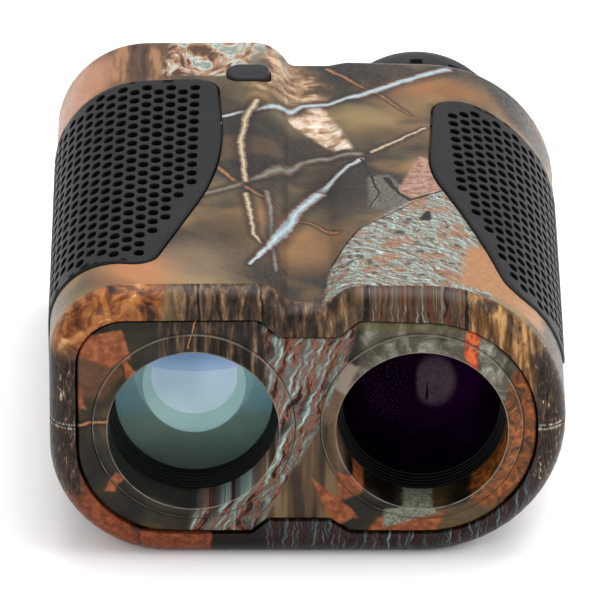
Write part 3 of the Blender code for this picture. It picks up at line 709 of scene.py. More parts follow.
TOP_GLOWS = [
    ((-2.0, 24.0), (8.0, 9.0), "b08a60", 0.7),
    ((-12.0, 23.0), (5.0, 7.0), "362c24", 0.6),
    ((-17.0, 12.0), (7.0, 7.0), "b39c82", 0.5),
    ((-25.0, 9.0), (5.0, 6.0), "c98f66", 0.7),
    ((-6.0, 56.0), (6.0, 9.0), "2f281f", 0.7),
    ((4.0, 38.0), (5.0, 9.0), "332b23", 0.75),
    ((8.0, 66.0), (4.0, 5.0), "a08a62", 0.8),
    ((5.0, 79.0), (8.0, 5.0), "332a20", 0.6),
    ((21.0, 83.0), (7.0, 4.0), "a8784c", 0.7),
    ((15.0, 73.0), (5.0, 3.0), "8c7a58", 0.7),
    ((13.0, 61.0), (7.0, 5.0), "3a3025", 0.6),
]
CREAM_LEAF = [(-6, 75), (-3, 70), (1, 59.5), (7.2, 56.5), (4.5, 67), (2.3, 77), (-1.6, 91), (-6, 91)]
SLANT_AREA = [(2, 2), (27, 2), (24.5, 26), (20, 41), (16.5, 39), (7.4, 25.5), (3.5, 15.5)]
SLANT_BARK = {0.15: "3c332c", 0.34: "a3836c", 0.45: "959a92", 0.62: "b0c2be", 0.88: "eef2ee"}
MARBLE = {0.36: "6a4632", 0.44: "b3937a", 0.52: "c9cfc6", 0.58: "8d9a94", 0.66: "c3bdb0"}
ROOT_COLOURS = {0.16: "100c0c", 0.34: "4f241d", 0.47: "352e2f", 0.64: "596466", 0.88: "9aa7a6"}
PALE_STICK = ("c3d0d3", "9dadb2", "8a5440")
TEAL_STICK = ("94948a", "7a7468", "6e4a38")
RUST_STICK = ("b48c68", "8f6a4a", "543c2b")
CREAM_STICK = ("cfc3ae", "a29079", "5e4635")
FAR_BRANCH = [
    (21, 91), (13.5, 84.3), (8, 78.8), (5.2, 77.4), (-0.9, 76.5), (-4, 71.6), (-7.5, 67), (-13, 64.3),
]
CROSS_BRANCH = [(7.5, 55), (2, 56.2), (-1, 54.5), (-4, 48.5), (-6.6, 42.7), (-12, 37.7), (-18, 34.5)]
RUST_BRANCH = [(-15.5, 50), (-11, 41), (-7, 35.5), (-3.2, 34), (0.7, 32), (4.5, 26.5)]
TOP_TWIGS = [
    ([(2.8, 91), (7.6, 83), (11, 79), (15.5, 71)], 0.45, RUST_STICK, 0.6),
    (RUST_BRANCH, 0.55, RUST_STICK, 0.5),
    (CROSS_BRANCH, 0.95, TEAL_STICK, 0.7),
    ([(9.5, 56), (13.3, 60.6), (17.5, 66)], 0.55, CREAM_STICK, 0.7),
    (FAR_BRANCH, 1.0, PALE_STICK, 0.6),
    ([(-7.6, 70.5), (-9.2, 64), (-9.9, 55), (-9.6, 48), (-9.2, 40.5)], 0.75, CREAM_STICK, 0.8),
    ([(-9.1, 36), (-8.4, 28.7), (-7.8, 21.5), (-6.8, 18.5)], 0.6, CREAM_STICK, 0.6),
    ([(-6.1, 37.5), (-5.4, 31.7), (-5.3, 22.8), (-4.6, 10.5)], 0.6, TEAL_STICK, 0.6),
    ([(8, 53), (3.8, 47.5), (1.4, 42.6)], 0.6, PALE_STICK, 1.5),
    ([(1.4, 42.6), (-1.6, 36.3), (-3.6, 26.6), (-5.8, 17.4), (-8.3, 11)], 1.2, PALE_STICK, 0.35),
]
TOP_CRACKS = [
    ([(11.5, 45.5), (13.4, 39.6), (15.1, 37), (19.8, 41)], 0.5),
    ([(8, 53), (10.5, 40), (9, 33.5)], 0.25),
    ([(3.5, 15.5), (7.4, 25.5), (15.5, 36)], 0.25),
    ([(17.2, 30), (17.6, 32.5)], 0.9),
]
LIP_CRACKS = [
    ([(8.3, 34), (8.6, 44)], 0.6),
    ([(22.8, 33), (22.9, 44)], 0.4),
    ([(-6, 34), (-7, 44)], 0.3),
    ([(-15.5, 36), (-16, 44)], 0.3),
]


def film(name):
    """A new film with its grain and marbling, and the places that its layers are drawn at."""
    paint = Print(name)
    here = paint.place()
    top, front = flat_coordinates(paint, here)
    paint.grain = paint.noise(here, 0.9, 3.0, 0.65)
    paint.fine = paint.noise(here, 2.6, 3.0, 0.7)
    return paint, here, top, front


def large_leaves(paint, here, marbling):
    """A noise that is high where large leaves lie, and their colour."""
    leaf = paint.noise(paint.vector("ADD", here, (90.0, 13.0, 5.0)), 0.06, 2.0, 0.45)
    return leaf, paint.mix(marbling, "7d482e", "b0744c")


def scratched_corner_and_highlights(paint, here, where):
    """Scratched brown wood on the corners beside the plate, whose pale flecks stand in for a painted
    highlight, and a painted highlight along the seam.
    """
    scratch = paint.noise(here, 0.8, 4.0, 0.7, 1.5, stretch=(2.2, 1.0, 0.5))
    tone = paint.ramp(scratch, {0.40: "1f1813", 0.54: "4a392b", 0.63: "6d5a4a", 0.70: "d0cabd"})
    paint.lay(where, tone)
    # Painted highlight: a pale line along the seam at the corners.
    seam = paint.apart(paint.split(here)[2], SEAM_HEIGHT)
    paint.lay(paint.both(where, paint.span(seam, 0.6, 0.3), paint.span(scratch, 0.45, 0.58), 0.7), "c4bfb4")


def camo_top():
    """The top of the upper half: sticks and leaves over a forest floor, with bark by the viewing barrel."""
    paint, here, top, _ = film("camo_top")
    x, depth, z = paint.split(here)
    paint.colour = wood_floor(paint, here)
    leaf, leaf_tone = large_leaves(paint, here, paint.grain)
    paint.lay(paint.both(paint.span(z, 33.0, 26.0), paint.span(leaf, 0.52, 0.56)), leaf_tone)
    for centre, size, tone, share in TOP_GLOWS:
        paint.glow(top, centre, size, 1.4, share, tone)

    # The rear of the battery side: streaked shoulder, then a marbled leaf.
    streak = paint.noise(here, 0.5, 3.0, 0.6, stretch=(1.0, 0.12, 0.5))
    shoulder = paint.ramp(streak, {0.35: "4a3728", 0.5: "75573d", 0.68: "b08a68"})
    paint.patch(top, [(-44, 70), (-21, 78), (-20, 100), (-44, 100)], 2.5, shoulder)
    peach = paint.mix(paint.grain, "c08c6c", "e0b496")
    paint.glow(top, (-34, 84), (5, 9), 0.9, 0.8, peach)
    swirl = paint.noise(here, 0.22, 6.0, 0.62, 1.4, stretch=(1.0, 0.6, 1.0))
    marble = paint.ramp(swirl, MARBLE)
    paint.patch(top, [(-22, 80), (-13, 79.5), (-5, 84), (-2, 99), (-20, 99)], 0.6, marble)

    # A mottled cream leaf that narrows to the middle of the top.
    mottle = paint.noise(here, 0.36, 5.0, 0.6, 0.15)
    cream = paint.ramp(mottle, {0.34: "94765c", 0.45: "c3a68c", 0.54: "e0cfbf", 0.66: "f2e8de"})
    paint.patch(top, CREAM_LEAF, 0.5, cream)
    crown = paint.ramp(mottle, {0.38: "63503d", 0.5: "997a5c", 0.62: "cbb092"})
    paint.glow(top, (-3.5, 82), (6, 10), 0.8, 0.85, crown)

    # Slanted bark beside the viewing barrel, with a salmon leaf and grey stone behind it.
    stone = paint.shades(paint.fine, "57514b", "8d8880")
    paint.patch(top, [(9, 34), (13, 32), (15.5, 38), (12, 47), (8.8, 46)], 0.5, stone)
    salmon = paint.shades(paint.grain, "927364", "c7a595")
    paint.patch(top, [(13, 40), (16, 37.5), (20.5, 40), (19.5, 52), (16.5, 54.5)], 0.5, salmon)
    slant = paint.math("MULTIPLY_ADD", depth, 1.1, x)
    speckled = paint.relief(slant, paint.math("SUBTRACT", x, depth), 1.5, 0.6, SLANT_BARK, 0.5)
    bark_area = paint.area(top, SLANT_AREA, 0.4)
    paint.lay(bark_area, speckled)
    rust = paint.both(bark_area, paint.span(paint.noise(here, 0.22, 3.0), 0.52, 0.62), 0.55)
    paint.lay(rust, "a9744e")
    wedge = paint.mix(paint.grain, "9c7350", "caa27c")
    paint.patch(top, [(22, 6), (34, 6), (34, 20), (25, 22.5), (23, 20)], 0.8, wedge)

    for points, width, tones, tip in TOP_TWIGS:
        paint.twig(top, points, width, tones, tip)
    for points, width in TOP_CRACKS:
        paint.crack(top, points, width)
    return finish_print(paint, 0.25)


def camo_lip():
    """The rounded front of the upper half, above the face plate."""
    paint, here, _, front = film("camo_lip")
    x, depth, z = paint.split(here)
    paint.colour = wood_floor(paint, here)
    streak = paint.noise(here, 0.8, 5.0, 0.65, 0.5, stretch=(1.0, 0.3, 0.18))
    shaded = paint.ramp(streak, {0.36: "17120f", 0.48: "4b3b2d", 0.58: "77604a", 0.68: "a08a6e"})
    paint.patch(front, [(-19, 20), (7, 20), (7, 60), (-22, 60)], 3.0, shaded)
    upright = paint.relief(x, paint.math("MULTIPLY_ADD", depth, -0.5, z), 1.0, 0.12, BARK, 0.15)
    paint.patch(front, [(8, 20), (23, 20), (23, 60), (8, 60)], 1.0, upright)
    tan = paint.ramp(streak, {0.38: "47341f", 0.5: "80623f", 0.62: "b8946a"})
    paint.patch(front, [(23, 20), (36, 20), (36, 60), (23, 60)], 1.0, tan)
    blaze = paint.noise(here, 0.3, 5.0, 0.6, 0.6)
    fire = paint.ramp(blaze, {0.36: "46301f", 0.46: "80512f", 0.56: "ac7a4c", 0.70: "d6ae82"})
    paint.patch(front, [(-42, 27), (-33, 26), (-22, 33), (-20, 44), (-42, 44)], 0.8, fire)
    for points, width in LIP_CRACKS:
        paint.crack(front, points, width, "17120f")
    outside = paint.span(paint.math("ABSOLUTE", x), 31.5, 33.5)
    scratched_corner_and_highlights(paint, here, paint.both(outside, paint.span(z, 35.0, 31.0)))
    return finish_print(paint, 0.1)


def camo_low():
    """The lower half: tilted bark with leaves, and roots below the face plate."""
    paint, here, _, front = film("camo_low")
    x, depth, z = paint.split(here)
    paint.colour = wood_floor(paint, here)
    lean = paint.math("MULTIPLY_ADD", z, 0.35, x)
    bark = paint.relief(paint.math("MULTIPLY_ADD", depth, 0.8, lean), z, 1.5, 0.16, BARK)
    patches = paint.noise(here, 0.05, 2.0, 0.5, 0.6)
    paint.lay(paint.span(patches, 0.44, 0.5), bark)
    leaf, leaf_tone = large_leaves(paint, here, paint.fine)
    paint.lay(paint.span(leaf, 0.60, 0.63), leaf_tone)

    lip = paint.both(paint.span(depth, 14.0, 8.0), paint.span(z, 21.0, 17.0))
    dusk = paint.shades(paint.fine, "15110e", "30271f")
    paint.lay(lip, dusk)
    roots = paint.relief(x, z, 0.9, 0.14, ROOT_COLOURS, 0.2)
    root_area = paint.area(front, [(-6, -5), (45, -5), (45, 22), (20, 22), (-6, 9)], 0.6)
    paint.lay(paint.both(lip, root_area), roots)
    ember = paint.shades(paint.grain, "6c3c27", "9a5f40")
    outer = paint.area(front, [(-45, -5), (-24.5, -5), (-24.5, 4), (-35, 16.5), (-45, 16.5)], 0.7)
    inner = paint.area(front, [(-24, -4), (-14, -4), (-14, 4.3), (-24.5, 4.3)], 0.3)
    paint.lay(paint.both(lip, paint.math("MAXIMUM", outer, inner)), ember)
    outside = paint.span(paint.math("ABSOLUTE", x), 31.5, 33.5)
    scratched_corner_and_highlights(paint, here, paint.both(outside, paint.span(depth, 10.0, 6.0), paint.span(z, 7.0, 12.0)))
    return finish_print(paint, 0.02)


PLATE_BARK = {
    0.14: "1a1310", 0.28: "573628", 0.37: "946654", 0.46: "6f675e",
    0.60: "8a948e", 0.74: "a3bab6", 0.92: "e6ebe6",
}
BARK_UPPER = [(-5, 20), (1, 20), (6.5, 34), (7, 38), (-8, 38), (-5.6, 27)]
BARK_LOWER = [(-17, 2), (-8.7, 2), (1.6, 21), (-4.2, 22), (-17, 7)]
PLATE_LEAF = [(-34, 32.5), (-28.6, 30.3), (-25.4, 32), (-26.8, 36.2), (-34, 35)]
RUSSET_AREA = [(21, 3), (36, 3), (37, 31), (29.6, 29.5), (27.8, 24.2)]
PLATE_TWIGS = [
    ([(-34, 20.8), (-28.4, 22.6)], 0.35, RUST_STICK, 0.8),
    ([(-16, 38), (-17.3, 34)], 0.2, RUST_STICK, 0.6),
]


def camo_plate():
    """The face plate and the bezels: slanted bark between the windows, leaves and wood round them."""
    paint = Print("camo_plate")
    here = paint.place()
    _, front = flat_coordinates(paint, here)
    x, depth, z = paint.split(here)
    fine = paint.noise(here, 2.6, 3.0, 0.7)
    paint.grain = paint.noise(here, 0.9, 3.0, 0.65)
    marble = paint.noise(here, 0.45, 5.0, 0.65, 1.4)
    wide = paint.noise(here, 0.12, 3.0, 0.5, 0.5)
    paint.colour = paint.ramp(wide, {0.36: "211e18", 0.48: "343026", 0.58: "443d2e", 0.68: "5c4f38"})

    # Dark upright streaks above the receiver window.
    streak = paint.noise(paint.join(x, paint.math("MULTIPLY", z, 0.12), 0.0), 1.1, 4.0, 0.7)
    tone = paint.ramp(streak, {0.36: "14110e", 0.5: "3a2f25", 0.62: "6d5a46", 0.7: "8f8678"})
    paint.patch(front, [(-21, 30), (-4, 26), (-4, 40), (-22, 40)], 1.5, tone)

    # Brown and orange leaves on the receiver's side.
    brown = paint.mix(paint.grain, "4b3729", "85644a")
    paint.patch(front, [(-34, 26), (-30, 25), (-26.5, 30), (-28.6, 33), (-34, 33)], 0.6, brown)
    orange = paint.mix(paint.span(paint.grain, 0.3, 0.75), "7d4c31", "a8714f")
    paint.patch(front, PLATE_LEAF, 0.2, orange)
    paint.patch(front, [(-26.2, 29.4), (-22.9, 28.4), (-24.6, 30.4), (-27, 32.2)], 0.2, orange)
    paint.patch(front, [(-34, 24), (-32, 23.6), (-33, 27.5), (-34, 27.5)], 0.3, orange)
    paint.patch(front, [(-29.5, 10.8), (-28, 10.6), (-26.6, 13.6), (-27.6, 14.3)], 0.2, orange)

    # The right-hand side: grey-green above, russet to the right and below.
    crust = paint.noise(here, 0.3, 4.0, 0.6, 0.8)
    lichen = paint.ramp(crust, {0.35: "4a453a", 0.47: "625d51", 0.56: "7d7a6f", 0.68: "a3a298"})
    paint.patch(front, [(7, 29), (29, 24), (34, 29), (30, 38), (8, 38)], 0.8, lichen)
    paint.glow(front, (16, 37.2), (13, 1.1), 0.8, 0.5, "655f35")
    wood = paint.mix(paint.grain, "54453a", "8a7460")
    paint.patch(front, [(1.5, 13), (5, 12), (7, 29), (2, 28)], 0.8, wood)
    paint.patch(front, [(2.8, 27.6), (5.5, 26.8), (7.5, 31), (4.2, 31.4)], 0.4, "978b80")
    russet = paint.ramp(marble, {0.38: "4f402b", 0.5: "80522f", 0.62: "a46c40"})
    paint.patch(front, RUSSET_AREA, 0.35, russet)
    earth = paint.mix(paint.grain, "4c4232", "7d6a4c")
    paint.patch(front, [(16, 2), (27, 2), (30, 7), (24, 9), (16, 9)], 1.0, earth)
    flame = paint.mix(paint.span(marble, 0.4, 0.6), "a2412b", "c97a50")
    paint.patch(front, [(22.6, 33), (23.6, 30.6), (24.3, 30.8), (24.9, 35.6), (22.9, 37)], 0.15, flame)

    # Smooth wood between the windows, chips of orange and a pale splinter below it.
    smooth = paint.noise(here, 0.6, 2.0, stretch=(1.0, 1.0, 0.1))
    plank = paint.ramp(smooth, {0.35: "493b2d", 0.5: "66543f", 0.65: "7f6d53"})
    paint.patch(front, [(-9, 3), (5, 3), (3.6, 22), (-1, 20.5)], 0.5, plank)
    paint.patch(front, [(3.6, 5.2), (7.4, 6.4), (5, 9), (0.4, 12.9)], 0.2, orange)
    paint.patch(front, [(4.4, 9), (7.6, 10.4), (8.4, 13.5), (4, 14)], 0.3, orange)
    paint.patch(front, [(8, 3), (18, 3), (20, 8), (10, 6.4)], 0.4, orange)
    splinter = paint.shades(fine, "5f6054", "9ea292")
    paint.patch(front, [(11, 4.6), (19, 7.6), (17, 10), (11, 8)], 0.3, splinter)

    # Slanted bark in relief.
    slant = paint.math("MULTIPLY_ADD", z, -0.38, x)
    bark = paint.relief(slant, z, 1.7, 0.22, PLATE_BARK, 0.6)
    band = paint.math("MAXIMUM", paint.area(front, BARK_UPPER, 0.5), paint.area(front, BARK_LOWER, 0.6))
    paint.lay(band, bark)
    for points, width, tones, tip in PLATE_TWIGS:
        paint.twig(front, points, width, tones, tip)

    # Painted highlights: pale lines along the rims of both windows and round the joints of the bezels with
    # the plate, broken up by noise.
    offset = paint.math("SUBTRACT", paint.math("ABSOLUTE", x), LENS_X)
    radius = paint.vector("LENGTH", paint.join(offset, paint.math("SUBTRACT", z, AXIS_HEIGHT), 0.0))
    highlight_breakup = paint.span(paint.noise(here, 0.35, 2.0), 0.3, 0.62, 0.35, 1.0)
    lip = paint.apart(radius, BEZEL_BORE + 0.13)
    joint_highlight = paint.apart(radius, BEZEL_EDGE - 0.1)
    raised = paint.span(depth, -0.9, -1.15)
    paint.lay(paint.both(paint.span(lip, 0.11, 0.05), raised, highlight_breakup, 0.8), "8f8a82")
    paint.lay(paint.both(paint.span(joint_highlight, 0.16, 0.08), paint.span(depth, 0.8, 0.4), highlight_breakup, 0.8), "8a857b")
    return finish_print(paint, 0.02, 0.3)


REFLECTED_TEAL = {0.0: "3a443c", 0.28: "50625a", 0.52: "587472", 0.66: "5c7c80", 1.0: "62828a"}


def lens_reflection_paint(name):
    """A new lens paint with painted reflections, and where its layers are drawn: the place, its x, its z, and
    (x, z) as one.
    """
    paint = Print(name)
    here = paint.place()
    x, _, z = paint.split(here)
    return paint, here, x, z, paint.join(x, z, 0.0)


def receiver_reflections_and_glow():
    """The multicoated group behind the receiver window: painted reflections of nested pale discs under a blue
    cap, and a painted glow.
    """
    paint, here, x, z, flat = lens_reflection_paint("receiver_reflections_and_glow")
    cloud = paint.noise(here, 0.1, 2.0)
    # Painted reflection: the teal ground grows lighter towards the top.
    height = paint.math("MULTIPLY_ADD", cloud, 3.0, z)
    paint.colour = paint.ramp(paint.span(height, 8.0, 36.0), REFLECTED_TEAL)
    # Painted reflections: a faint blue band, then pale discs and a blue cap over them.
    band = paint.span(paint.apart(z, 19.5), 3.2, 0.6)
    outer = paint.span(paint.math("ABSOLUTE", paint.math("ADD", x, LENS_X)), 4.0, 10.0)
    paint.lay(paint.both(band, outer, 0.3), "50748c")
    paint.lay(paint.blot(flat, (-LENS_X, 22.2), (7.5, 7.8), 0.024), "84a3a1")
    core = paint.mix(paint.span(z, 17.0, 25.0), "9fb5bb", "a2b5c8")
    paint.lay(paint.blot(flat, (-LENS_X, 23.4), (6.27, 6.1), 0.024), core)
    bow = paint.math("POWER", paint.math("ADD", x, LENS_X), 2.0)
    arc = paint.math("SUBTRACT", z, paint.math("MULTIPLY_ADD", bow, 0.022, 24.0))
    cap = paint.mix(paint.span(arc, 0.0, 3.2), "8ba0c0", "6480a8")
    paint.lay(paint.span(arc, -0.05, 0.15), cap)
    paint.set(Base_Color=paint.colour, Roughness=0.6, Specular_IOR_Level=0.0)
    # Painted glow: the lens gives off light of its own, though it is no lamp.
    paint.set(Emission_Color=paint.colour, Emission_Strength=0.55)
    return paint.material


def viewing_coating_and_reflection():
    """The dark group behind the viewing window, with one faint painted reflection: a pale ghost crossed by a
    dark line.
    """
    paint, here, x, _, flat = lens_reflection_paint("viewing_coating_and_reflection")
    cloud = paint.noise(here, 0.15, 2.0)
    paint.colour = paint.shades(cloud, "07000a", "120016")
    # Painted reflection: a faint pale ghost with a dark line through it.
    painted_ghost_reflection = paint.both(
        paint.blot(flat, (18.4, 22.6), (2.9, 3.8), 0.5),
        paint.span(x, 15.4, 16.2),
        paint.span(paint.noise(here, 1.6, 3.0, 0.6), 0.3, 0.7, 0.55, 1.0),
    )
    paint.lay(painted_ghost_reflection, "585150")
    paint.lay(paint.span(paint.near_line(flat, [(17.3, 19.8), (17.4, 22.0)], 0.22), 1.3, 0.6), "050307")
    paint.set(Base_Color=paint.colour, Roughness=0.6, Specular_IOR_Level=0.0)
    return paint.material


top_camo = camo_top()
lip_camo = camo_lip()
low_camo = camo_low()
plate_camo = camo_plate()
receiver_painted_reflections = receiver_reflections_and_glow()
viewing_coat_and_reflection = viewing_coating_and_reflection()
receiver_front = glass("receiver_window_glass", "f0f4f4", "86929a", share=(0.05, 0.5))
viewing_front = glass("viewing_window_glass", "f4eef8", "241028", share=(0.05, 0.5))


# ---- grips

PER_CORNER = 25


@cache
def grip_path(side, depth):
    """Points (x, z) of the housing's skin at a whole depth, from the seam up the flank and over."""
    points = outline(housing_corners(depth), 0.0, PER_CORNER - 1)
    run = points[2 * PER_CORNER:4 * PER_CORNER] if side > 0 else points[:6 * PER_CORNER - 1:-1]
    above = [point for point in run if point.y > SEAM_HEIGHT]
    first = Vector((above[0].x, SEAM_HEIGHT))
    if len(above) < len(run):
        last = run[-len(above) - 1]
        first = last.lerp(above[0], (SEAM_HEIGHT - last.y) / (above[0].y - last.y))
    return [first] + above


def skin_spot(side, distance, depth, lift):
    """The point (x, z) that distance along the skin at a whole depth."""
    path = grip_path(side, depth)
    for start, end in zip(path, path[1:]):
        span = (end - start).length
        if distance <= span or end is path[-1]:
            break
        distance -= span
    run = (end - start).normalized()
    outward = Vector((run.y, -run.x)) * side
    return start + run * distance + outward * lift


def on_skin(side, distance, depth, lift):
    """The point at that distance up from the seam, lifted off the skin along its normal."""
    whole = math.floor(depth)
    near = skin_spot(side, distance, whole, lift)
    far = skin_spot(side, distance, whole + 1, lift)
    point = near.lerp(far, depth - whole)
    return at(point.x, depth, point.y)


def inside(point, ring):
    """Whether a flat point lies within a closed ring of points."""
    crossings = False
    for a, b in zip(ring, ring[1:] + ring[:1]):
        if (a.y > point.y) != (b.y > point.y):
            if point.x < a.x + (b.x - a.x) * (point.y - a.y) / (b.y - a.y):
                crossings = not crossings
    return crossings


HOLE_ACROSS = 1.6
HOLE_ALONG = 2.2
HOLE_COLUMN = 1.8
HOLE_PITCH = 3.17
HOLE_POINTS = 14
HOLE_FLOOR = -0.55
HOLE_BORDER = 2.1
HOLE_START = 8.0
HOLE_COLUMNS = 24
HOLE_ROWS = 28
HOLE_SQUARENESS = 0.85
HOLE_CLEARANCE = 1.3
PAD_STEPS = 10
RIM_SPACING = 0.8
SAME_POINT = 1e-6


def hole_layout(corners):
    """Centres of the oval recesses, in staggered columns."""
    within = outline(corners, HOLE_BORDER + 0.35, PAD_STEPS)
    holes = []
    for column in range(HOLE_COLUMNS):
        for row in range(HOLE_ROWS):
            across = HOLE_BORDER + 1.6 + column * HOLE_COLUMN
            centre = Vector((across, HOLE_START + HOLE_PITCH * (row + 0.5 * (column % 2))))
            if inside(centre, within):
                holes.append(centre)
    return holes


def oval(centre, grow=0.0):
    """The squarish ring round one recess."""
    ring = []
    for k in range(HOLE_POINTS):
        angle = 2 * math.pi * k / HOLE_POINTS
        c, s = math.cos(angle), math.sin(angle)
        across = math.copysign(abs(c) ** HOLE_SQUARENESS, c) * (HOLE_ACROSS / 2 + grow)
        along = math.copysign(abs(s) ** HOLE_SQUARENESS, s) * (HOLE_ALONG / 2 + grow)
        ring.append(centre + Vector((across, along)))
    return ring


def triangulated(ring, holes, spacing):
    """Triangles between an outline and its holes, as (points, triples). The points start with both."""
    points = list(ring)
    edges = [(k, (k + 1) % len(ring)) for k in range(len(ring))]
    for hole in holes:
        first = len(points)
        points += hole
        edges += [(first + k, first + (k + 1) % len(hole)) for k in range(len(hole))]
    low = Vector((min(p.x for p in ring), min(p.y for p in ring)))
    high = Vector((max(p.x for p in ring), max(p.y for p in ring)))
    nothing = Vector((0, 0))
    middles = [sum(hole, nothing) / len(hole) for hole in holes]
    u = low.x + spacing / 2
    while u < high.x:
        v = low.y + spacing / 2
        while v < high.y:
            spot = Vector((u, v))
            clear = all((spot - m).length > HOLE_CLEARANCE for m in middles)
            if clear and inside(spot, ring) and min((spot - p).length for p in ring) > spacing * 0.4:
                points.append(spot)
            v += spacing
        u += spacing
    verts, _, faces, sources, _, _ = delaunay_2d_cdt(points, edges, [], 0, 1e-7)
    origin = {k: source[0] for k, source in enumerate(sources) if source}
    triples = []
    for face in faces:
        centre = sum((verts[k] for k in face), nothing) / 3
        near = [hole for hole, m in zip(holes, middles) if (centre - m).length < HOLE_CLEARANCE]
        if inside(centre, ring) and not any(inside(centre, hole) for hole in near):
            triples.append(tuple(origin[k] for k in face))
    return points, triples


def evenly(ring, count):
    """That many points spaced evenly round a closed ring."""
    spans = [(b - a).length for a, b in zip(ring, ring[1:] + ring[:1])]
    total = sum(spans)
    result = []
    index = 0
    walked = 0.0
    for k in range(count):
        target = total * k / count
        while walked + spans[index] < target:
            walked += spans[index]
            index += 1
        a, b = ring[index], ring[(index + 1) % len(ring)]
        result.append(a.lerp(b, (target - walked) / spans[index] if spans[index] else 0.0))
    return result


def rim_count(ring):
    """How many points the rim of a pad needs, at least one for every straight stretch."""
    stretches = [(b - a).length for a, b in zip(ring, ring[1:] + ring[:1])]
    return sum(math.ceil(stretch / RIM_SPACING) for stretch in stretches if stretch >= SAME_POINT)


def pad(name, side, corners, levels, holes=(), spacing=1.2, finish=None):
    """A sheet on the skin; levels (inset, lift) run from its inner face, round its edge, to its top."""
    bm = bmesh.new()

    def lifted(points, lift):
        return [bm.verts.new(on_skin(side, p.x, p.y, lift)) for p in points]

    count = rim_count(outline(corners, levels[0][0], PAD_STEPS))
    rings = []
    for inset, lift in levels:
        even = evenly(outline(corners, inset, PAD_STEPS), count)
        rings.append((even, lifted(even, lift)))
    for (_, low), (_, high) in zip(rings, rings[1:]):
        band(bm, low, high)
    recesses = [oval(centre) for centre in holes]
    for (ring, verts), lift, cuts in ((rings[0], levels[0][1], []), (rings[-1], levels[-1][1], recesses)):
        points, triples = triangulated(ring, cuts, spacing)
        made = verts + lifted(points[len(verts):], lift)
        for triple in triples:
            bm.faces.new([made[k] for k in triple])
        for number in range(len(cuts)):
            start = len(verts) + number * HOLE_POINTS
            rim = made[start:start + HOLE_POINTS]
            for grow, down, material in ((-0.07, lift - 0.12, 0), (-0.12, HOLE_FLOOR, 1)):
                lower = lifted(oval(holes[number], grow), down)
                band(bm, rim, lower, material)
                rim = lower
            bm.faces.new(rim).material_index = 1
    return piece(name, bm, finish, 40)


for name, side, corners in (("left_grip", -1, LEFT_GRIP), ("right_grip", 1, RIGHT_GRIP)):
    edge = [(0.0, -GRIP_INNER), (0.0, -0.1), (0.08, 0.1), (0.26, 0.24), (0.5, GRIP_PROUD)]
    grip = pad(f"{name}_pad", side, corners, edge, hole_layout(corners), 1.2, grip_finish)
    # The recesses' walls and floors take the darker rubber as painted shade.
    grip.data.materials.append(recess_shade_finish)
    for vertex in grip.data.vertices:
        vertex.co.x = min(max(vertex.co.x, cad_bounds[0].x), cad_bounds[1].x)
    stands_for(grip, "housing", "grip_rubber", name)


# ---- housing

def quarter(steps):
    """Sine and cosine along a quarter turn, both ends included."""
    for step in range(steps + 1):
        angle = math.pi / 2 * step / steps
        yield math.sin(angle), math.cos(angle)


def housing_levels():
    """The outer skin, from the rounded front lip to the rounded back."""
    levels = []
    for sine, cosine in quarter(10):
        depth = FRONT_ROUND_DEPTH * (1 - cosine)
        levels.append((housing_corners(depth), FRONT_ROUND * (1 - sine), depth))
    for depth in range(10, 90, 8):
        levels.append((housing_corners(depth), 0.0, float(depth)))
    for sine, cosine in quarter(8):
        depth = SHELL_LENGTH - BACK_ROUND * (1 - sine)
        levels.append((housing_corners(depth), BACK_ROUND * (1 - cosine), depth))
    return levels


def cavity():
    """The hollow of the housing, narrower at both ends."""
    sections = [
        (2.6, WALL + 0.9),
        (FRONT_ROUND_DEPTH, WALL),
        (46.0, WALL),
        (SHELL_LENGTH - BACK_ROUND, WALL),
        (SHELL_LENGTH - BACK_WALL, WALL + 1.6),
    ]
    levels = [(housing_corners(depth), inset, depth) for depth, inset in sections]
    return stack("cavity", levels, along_depth, None, 8)


def button_outline(size, grow, centre, radius):
    """A rounded rectangle for stack()."""
    half_u, half_v = size[0] / 2 + grow, size[1] / 2 + grow
    u, v = centre
    return [
        (u - half_u, v - half_v, radius),
        (u + half_u, v - half_v, radius),
        (u + half_u, v + half_v, radius),
        (u - half_u, v + half_v, radius),
    ]


REAR_SCREW = (-2.2, 77.0)
REAR_HEAD_TOP = 6.0
CRADLE_SCREWS = [(0.0, 12.0), (0.0, 58.0)]
CRADLE_HEAD_TOP = 1.3
BOSS_RADIUS = 2.6
HEAD_HOLE = 2.5
SCREW_HOLE = 1.3
STRAP_X = (-4.0, 2.0)
STRAP_DEPTH = SHELL_LENGTH - 1.8
STRAP_HEIGHT = 6.2
EYE_AXIS = (LENS_X, 0, AXIS_HEIGHT)
BATTERY_AXIS = (BATTERY_X, 0, BATTERY_HEIGHT)
CAP_START = SHELL_LENGTH + GAP
UP = (0, 0, 1)
BAR_PLACE = (sum(STRAP_X) / 2, STRAP_DEPTH, STRAP_HEIGHT)
power_outline = button_outline(POWER_SIZE, 0.0, (POWER_X, POWER_DEPTH), 1.8)
power_flange = button_outline(POWER_FLANGE, 0.0, (POWER_X, POWER_DEPTH), 1.8)
mode_outline = button_outline(MODE_SIZE, 0.0, (MODE_DEPTH, SEAM_HEIGHT), 1.6)


def screw_hole(x, depth, head_top, top):
    """A clearance hole with a seat for the head, bored from below."""
    seat = head_top + GAP
    steps = [(0, top), (SCREW_HOLE, top), (SCREW_HOLE, seat), (HEAD_HOLE, seat), (HEAD_HOLE, -2), (0, -2)]
    return turned("screw_hole", steps, None, (x, depth, 0), UP, 32)


REAR_SCREW_END = 22.0
CRADLE_SCREW_END = 4.0
POST_TOP = 37.0
POST_BORE = (15.0, 30.0)
STRAP_BLOCK_X = (-7, 5)
STRAP_BLOCK_Z = (1.8, 11.5)
STRAP_NOTCH_Z = (3.0, 9.5)


